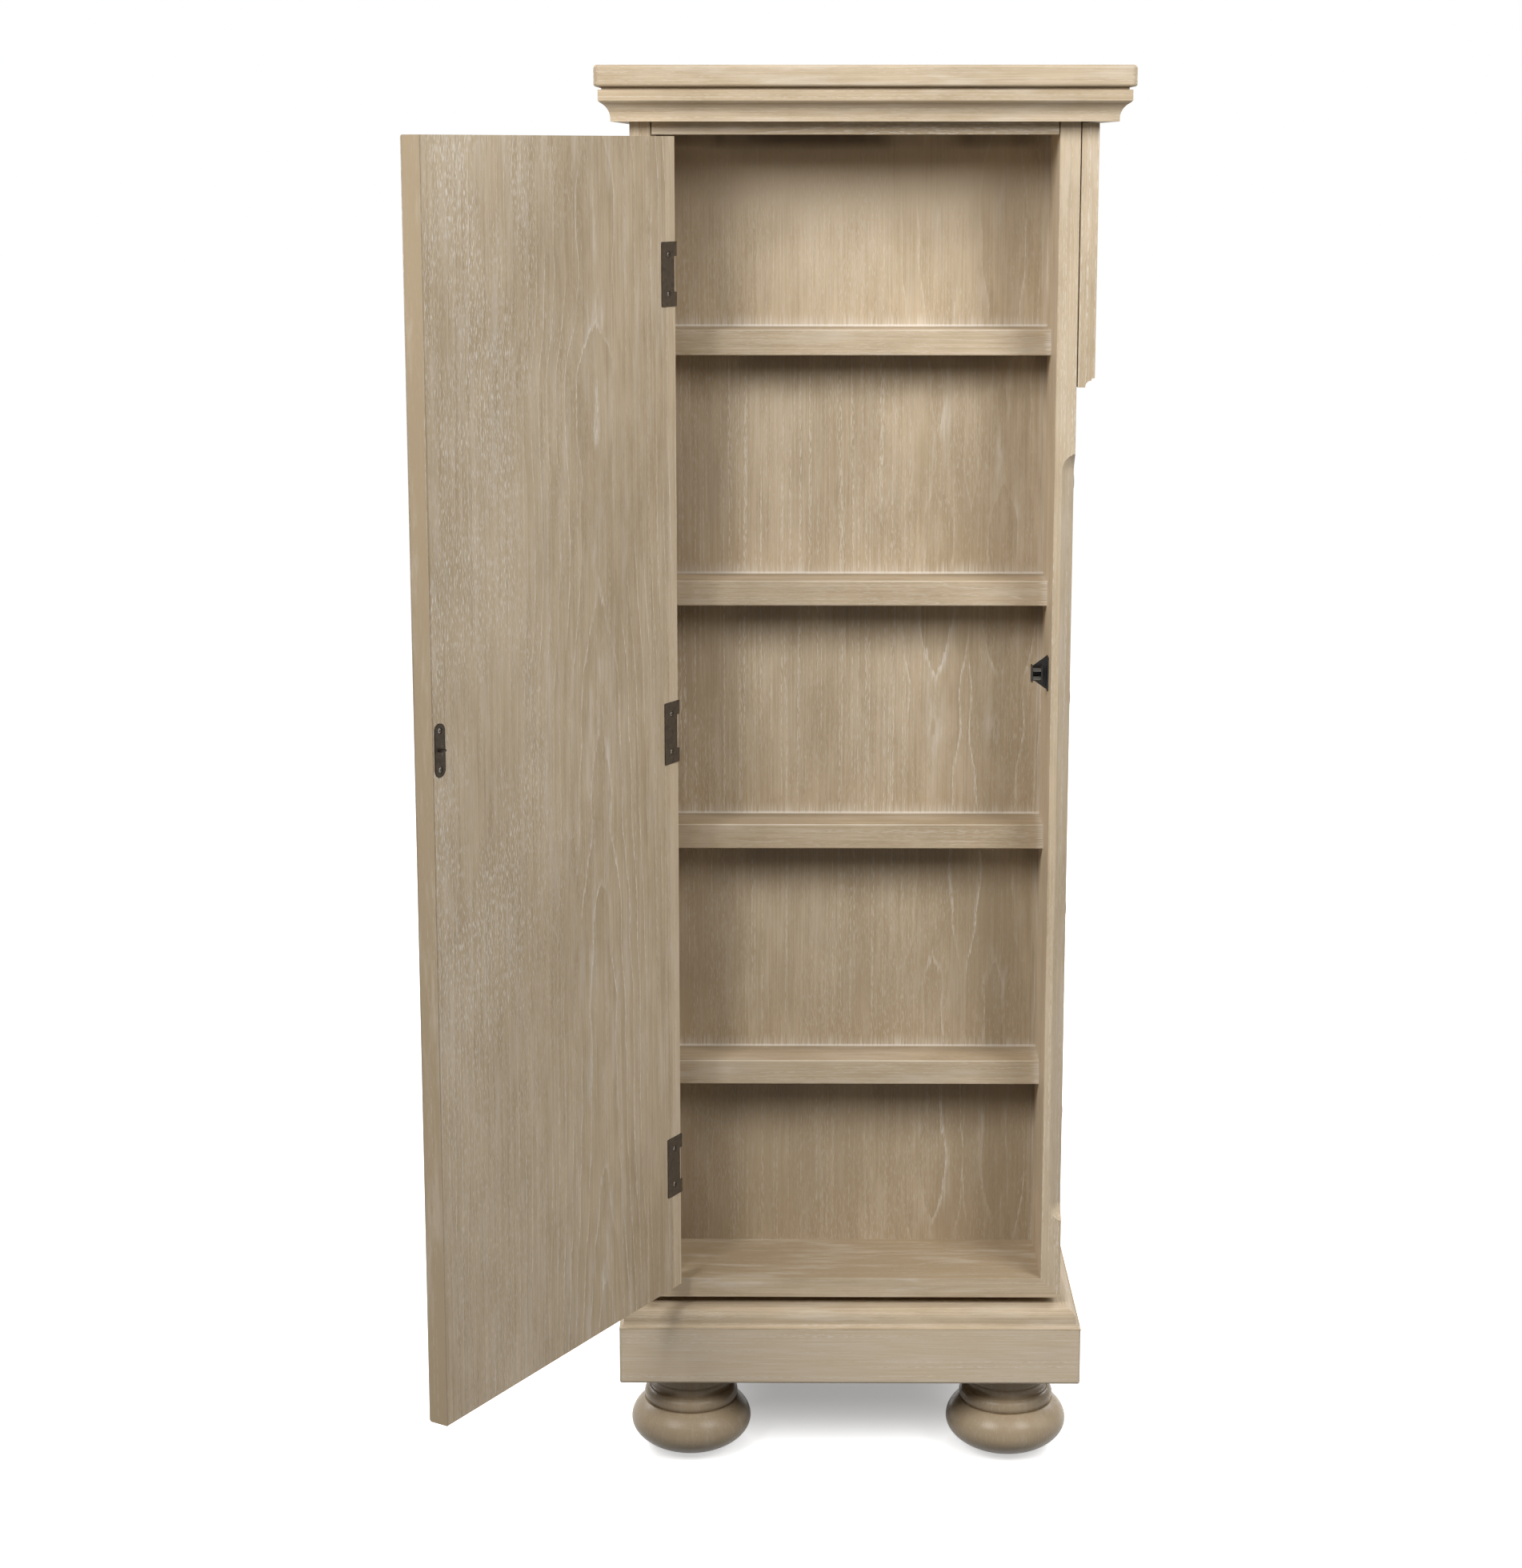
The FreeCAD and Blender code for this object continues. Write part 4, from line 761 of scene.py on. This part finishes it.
class CHEST_OT_woodwork(bpy.types.Operator):
    """Give every wooden board its limed grain, running the way the board was cut"""

    bl_idname = "chest.woodwork"
    bl_label = "Lime Woodwork"

    def lime(self, node, wood, wiring, settings):
        """Gives one node its own limed finish."""
        name = "Limed " + node.replace("_", " ")
        wear_material(node, limed_material(name, wood, wiring, settings))

    def execute(self, context):
        wood = context.scene.chest_wood
        limed_grain(wood)
        marks_and_shade = {"closet_back": lime_and_shade_on_back, "door_panel": marks_and_shade_on_door,
                    "floor_board": painted_shade_on_floor, "near_side": gathered_on_post}
        marks_and_shade.update({shelf: lime_highlight_and_shade_on_shelf(shelf) for shelf in SHELVES})
        # The grain of these two boards is placed from a known edge.
        edges = {"closet_back": Vector(), "door_panel": DOOR_PIVOT}
        for index, (node, (grain, across, plank)) in enumerate(BOARDS.items()):
            shift = cut_place(CUT_START, CUT_STEP, index)
            if node in edges:
                shift = (HEART_CUT[0] - AXES[across].dot(edges[node]), *HEART_CUT[1:])
            wiring = board_wiring(grain, across, shift, marks_and_shade.get(node))
            if node == "frieze_drawer_front":
                wiring = lipped_wiring(shift, *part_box(node))
            settings = {"Plank": plank, "Seed": BOARD_SEED + index, **FINISHES.get(node, {})}
            self.lime(node, wood, wiring, settings)
        for index, node in enumerate(MITRED):
            low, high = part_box(node)
            shift = cut_place(MITRED_START, MITRED_STEP, index)
            wiring = mitred_wiring(shift, (low + high) / 2, (high - low) / 2)
            settings = {"Plank": WHOLE, "Seed": MITRED_SEED + index, **FINISHES[node]}
            self.lime(node, wood, wiring, settings)
        wiring = board_wiring("Z", "DOOR", BEADS_CUT)
        self.lime("mirror_beads", wood, wiring, {"Plank": WHOLE, "Seed": BEADS_SEED, "Figure": 0.4})
        plain = plain_wood_material(wood)
        for node in PLAIN_WOOD:
            wear_material(node, plain)
        return {"FINISHED"}


class CHEST_OT_metalwork(bpy.types.Operator):
    """Give the hinges, catch, strike, knobs and bearing their metals"""

    bl_idname = "chest.metalwork"
    bl_label = "Finish Metalwork"

    def execute(self, context):
        hardware = context.scene.chest_hardware
        metals = (
            (PEWTER, metal_material("Aged pewter", hardware.pewter, roughness=0.46, wear=0.9)),
            (STEEL, metal_material("Bright steel", hardware.steel, roughness=0.30, wear=0.3)),
            (HINGES, metal_material("Aged hinges", hardware.hinge, roughness=0.46, wear=0.6)),
            (ROLLERS, metal_material("Polished rollers", hardware.roller, roughness=0.22, wear=0.3)),
            (CATCH, metal_material("Japanned catch", hardware.black, roughness=0.42, wear=1.2, metallic=0.0)),
        )
        for nodes, material in metals:
            for node in nodes:
                wear_material(node, material)
        return {"FINISHED"}


class CHEST_OT_screws(bpy.types.Operator):
    """Model the screw heads of the hinges, the strike and the catch, sunk so that the leaves can meet"""

    bl_idname = "chest.screws"
    bl_label = "Model Screws"

    def screw_head(self, context):
        """One domed head with a cross cut into it, its seat at the origin and its crown towards +Z."""
        hardware = context.scene.chest_hardware
        rim = hardware.leaf_thickness - hardware.head_dome
        start_clean()
        bpy.ops.mesh.primitive_cylinder_add(vertices=hardware.head_sides, radius=hardware.head_radius,
                                            depth=rim, location=(0, 0, rim / 2))
        head = context.object
        bpy.ops.object.transform_apply(location=True, rotation=False, scale=False)
        edit_faces(head, AXES["Z"])
        # The rings of the dome: each one's share of the radius and of the dome's height.
        for inward, rise in ((0.18, 0.60), (0.21, 0.30), (0.24, 0.10)):
            bpy.ops.mesh.inset(thickness=hardware.head_radius * inward)
            bpy.ops.transform.translate(value=(0, 0, hardware.head_dome * rise))
        for turn in (0, math.pi / 2):
            start_clean()
            bpy.ops.mesh.primitive_cube_add(size=1, location=(0, 0, hardware.leaf_thickness),
                                            rotation=(0, 0, turn))
            cutter = context.object
            cutter.scale = (hardware.head_radius * CROSS_LENGTH, hardware.recess_width, CROSS_DEPTH)
            bpy.ops.object.transform_apply(location=True, rotation=True, scale=True)
            take_up(head)
            cut = head.modifiers.new("Cross", "BOOLEAN")
            cut.operation = "DIFFERENCE"
            cut.object = cutter
            bpy.ops.object.modifier_apply(modifier=cut.name)
            bpy.data.objects.remove(cutter)
        bpy.ops.object.shade_smooth_by_angle(angle=SMOOTH_ANGLE)
        return head

    def spread(self, context, head, places):
        """Copies of the head at each place, joined into one piece."""
        copies = []
        for index, (place, outward) in enumerate(places):
            copy = head.copy()
            copy.data = head.data.copy()
            context.collection.objects.link(copy)
            twist = Matrix.Rotation(SCREW_TWIST * index, 4, "Z")
            facing = outward.to_track_quat("Z", "Y").to_matrix().to_4x4()
            copy.matrix_world = Matrix.Translation(place) @ facing @ twist
            copies.append(copy)
        start_clean()
        for copy in copies:
            copy.select_set(True)
        context.view_layer.objects.active = copies[0]
        bpy.ops.object.join()
        return context.object

    def execute(self, context):
        hardware = context.scene.chest_hardware
        head = self.screw_head(context)
        worn = metal_material("Worn screw heads", hardware.worn, roughness=0.38, wear=0.8)
        head.data.materials.append(worn)
        low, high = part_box("frame_hinge_leaves")
        middles = (low.z + HINGE_HALF, (low.z + high.z) / 2, high.z - HINGE_HALF)
        heights = [middle + step for middle in middles for step in (-HINGE_SCREW_STEP, HINGE_SCREW_STEP)]
        on_door = [door_place(HINGE_SCREW_ALONG, DOOR_SCREW_DEPTH, z) for z in heights]
        wall_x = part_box("carcass_screws")[0].x + hardware.shank
        on_walls = [(Vector((wall_x, WALL_SCREW_Y, z)), AXES["X"]) for z in heights]
        low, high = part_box("catch_housing")
        middle = (low.z + high.z) / 2
        for step in (-STRIKE_SCREW_STEP, STRIKE_SCREW_STEP):
            on_door.append(door_place(STRIKE_SCREW_ALONG, DOOR_SCREW_DEPTH, middle + step))
        for step in (-CATCH_SCREW_STEP, CATCH_SCREW_STEP):
            place = Vector((high.x, low.y + CATCH_SCREW_INSET, middle + step))
            on_walls.append((place, -AXES["X"]))
        door_heads = self.spread(context, head, [(place, INTO_DOOR) for place in on_door])
        settle(door_heads, "door_screw_heads", "door", "dark_metal", "door_screws")
        wall_heads = self.spread(context, head, on_walls)
        settle(wall_heads, "wall_screw_heads", "cabinet", "dark_metal", "carcass_screws")
        bpy.data.objects.remove(head)
        return {"FINISHED"}


class CHEST_OT_mirror(bpy.types.Operator):
    """Model the mirror as a plate with a ground edge behind its beads"""

    bl_idname = "chest.mirror"
    bl_label = "Model Mirror"

    def execute(self, context):
        hardware = context.scene.chest_hardware
        low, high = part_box("door_panel")
        width = DOOR_WIDTH - 2 * MIRROR_MARGIN
        height = high.z - low.z - 2 * MIRROR_MARGIN
        rim = MIRROR_THICKNESS - MIRROR_GROUND
        start_clean()
        bpy.ops.mesh.primitive_cube_add(size=1)
        plate = context.object
        plate.scale = (width, rim, height)
        bpy.ops.object.transform_apply(location=False, rotation=False, scale=True)
        edit_faces(plate, -AXES["Y"])
        bpy.ops.mesh.inset(thickness=hardware.mirror_bevel)
        bpy.ops.transform.translate(value=(0, -MIRROR_GROUND, 0))
        bpy.ops.object.mode_set(mode="OBJECT")
        middle = door_place(DOOR_START + DOOR_WIDTH / 2, MIRROR_BACK - rim / 2, (low.z + high.z) / 2)
        plate.matrix_world = Matrix.Translation(middle) @ DOOR_TURN.to_4x4()
        plate.data.materials.append(mirror_material(hardware))
        settle(plate, "bevelled_mirror", "door", "mirror", "mirror_glass")
        return {"FINISHED"}


class CHEST_OT_stage(bpy.types.Operator):
    """Set the floor, the studio lights and the camera"""

    bl_idname = "chest.stage"
    bl_label = "Set Stage"

    def floor(self, context, stage):
        """A white floor whose glow is weaker between and under the feet: painted shade on top of the real
        shadow.
        """
        start_clean()
        bpy.ops.mesh.primitive_plane_add(size=stage.floor_size)
        floor = context.object
        floor.name = "studio_floor"
        material = bpy.data.materials.new("Studio floor")
        material.use_nodes = True
        material.node_tree.nodes.clear()
        sheet = Sheet(material.node_tree)
        x, y, _ = sheet.split(sheet.place())
        x = sheet.math("ABSOLUTE", x)
        y = sheet.math("ABSOLUTE", y)
        low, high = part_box("bun_foot_back_right")
        radius = (high.x - low.x) / 2
        off_x = sheet.less(x, (low.x + high.x) / 2)
        off_y = sheet.less(y, (low.y + high.y) / 2)
        away = sheet.math("SQRT", sheet.plus(sheet.times(off_x, off_x), sheet.times(off_y, off_y)))
        # Painted shade: the glow is weakest under the middle of the chest, and a little weaker round each
        # foot.
        under = sheet.ramp(sheet.most(sheet.times(x, 0.7), y), 0.05, 0.26, 0.33, 1.0)
        beside = sheet.ramp(away, 0.6 * radius, 1.5 * radius, 0.55, 1.0)
        glossy = sheet.add("ShaderNodeLightPath").outputs["Is Glossy Ray"]
        mirrored = sheet.scaled(glossy, -0.4, 1.0)
        paper = sheet.add("ShaderNodeBsdfDiffuse")
        paper.inputs["Color"].default_value = PAPER
        glow_with_painted_shade = sheet.add("ShaderNodeEmission")
        glow_with_painted_shade.inputs["Color"].default_value = WHITE
        sheet.feed(glow_with_painted_shade.inputs["Strength"], sheet.times(sheet.math("MINIMUM", under, beside), mirrored))
        both = sheet.add("ShaderNodeAddShader")
        sheet.feed(both.inputs[0], paper.outputs[0])
        sheet.feed(both.inputs[1], glow_with_painted_shade.outputs[0])
        dim = sheet.add("ShaderNodeBsdfDiffuse")
        dim.inputs["Color"].default_value = linear([stage.floor_bounce] * 3)
        output = sheet.add("ShaderNodeOutputMaterial")
        sheet.feed(output.inputs["Surface"], seen_and_felt(sheet, both, dim))
        floor.data.materials.append(material)

    def world(self, context, stage):
        """Soft light from all round, with a white background."""
        world = bpy.data.worlds.new("Studio")
        context.scene.world = world
        world.use_nodes = True
        world.node_tree.nodes.clear()
        sheet = Sheet(world.node_tree)
        soft = sheet.add("ShaderNodeBackground")
        soft.inputs["Color"].default_value = WHITE
        soft.inputs["Strength"].default_value = stage.ambient
        white = sheet.add("ShaderNodeBackground")
        white.inputs["Color"].default_value = WHITE
        white.inputs["Strength"].default_value = 1.0
        output = sheet.add("ShaderNodeOutputWorld")
        sheet.feed(output.inputs["Surface"], seen_and_felt(sheet, white, soft))

    def lamp(self, context, name, place, aim, size, power):
        """One soft light of a given width and height."""
        data = bpy.data.lights.new(name, "AREA")
        data.shape = "RECTANGLE"
        data.size, data.size_y = size
        data.energy = power
        lamp = bpy.data.objects.new(name, data)
        lamp.location = place
        lamp.rotation_euler = (Vector(aim) - Vector(place)).to_track_quat("-Z", "Y").to_euler()
        context.collection.objects.link(lamp)

    def execute(self, context):
        stage = context.scene.chest_stage
        self.floor(context, stage)
        self.world(context, stage)
        for name, (place, aim, size, power) in LAMPS.items():
            self.lamp(context, name, place, aim, size, getattr(stage, power))
        data = bpy.data.cameras.new("photo_camera")
        data.lens = stage.lens
        data.sensor_width = SENSOR_WIDTH
        data.shift_x = stage.shift_x
        data.shift_y = stage.shift_y
        camera = bpy.data.objects.new("photo_camera", data)
        camera.location = stage.camera_place
        camera.rotation_euler = (math.pi / 2 - stage.camera_pitch, 0.0, stage.camera_yaw)
        context.collection.objects.link(camera)
        context.scene.camera = camera
        context.scene.view_settings.view_transform = "Standard"
        return {"FINISHED"}


class CHEST_PT_panel(bpy.types.Panel):
    """Sizes, colours and steps of the chest"""

    bl_idname = "CHEST_PT_panel"
    bl_label = "Swivel Chest"
    bl_space_type = "VIEW_3D"
    bl_region_type = "UI"
    bl_category = "Chest"

    def draw(self, context):
        layout = self.layout
        scene = context.scene
        for group in (scene.chest_wood, scene.chest_hardware, scene.chest_stage):
            box = layout.box()
            for name in group.bl_rna.properties.keys():
                if name not in ("rna_type", "name"):
                    box.prop(group, name)
        for step in STEPS:
            layout.operator(step.bl_idname)


GROUPS = (("chest_wood", ChestWood), ("chest_hardware", ChestHardware), ("chest_stage", ChestStage))
STEPS = (CHEST_OT_woodwork, CHEST_OT_metalwork, CHEST_OT_screws, CHEST_OT_mirror, CHEST_OT_stage)


def register():
    """Makes the properties, the steps and the panel known to Blender."""
    for name, group in GROUPS:
        bpy.utils.register_class(group)
        setattr(bpy.types.Scene, name, PointerProperty(type=group))
    for step in STEPS + (CHEST_PT_panel,):
        bpy.utils.register_class(step)


def unregister():
    """Takes them out again."""
    for step in reversed(STEPS + (CHEST_PT_panel,)):
        bpy.utils.unregister_class(step)
    for name, group in reversed(GROUPS):
        delattr(bpy.types.Scene, name)
        bpy.utils.unregister_class(group)


def main():
    """Finishes the chest step by step."""
    register()
    bpy.ops.chest.woodwork()
    bpy.ops.chest.metalwork()
    bpy.ops.chest.screws()
    bpy.ops.chest.mirror()
    bpy.ops.chest.stage()


if __name__ == "__main__":
    main()
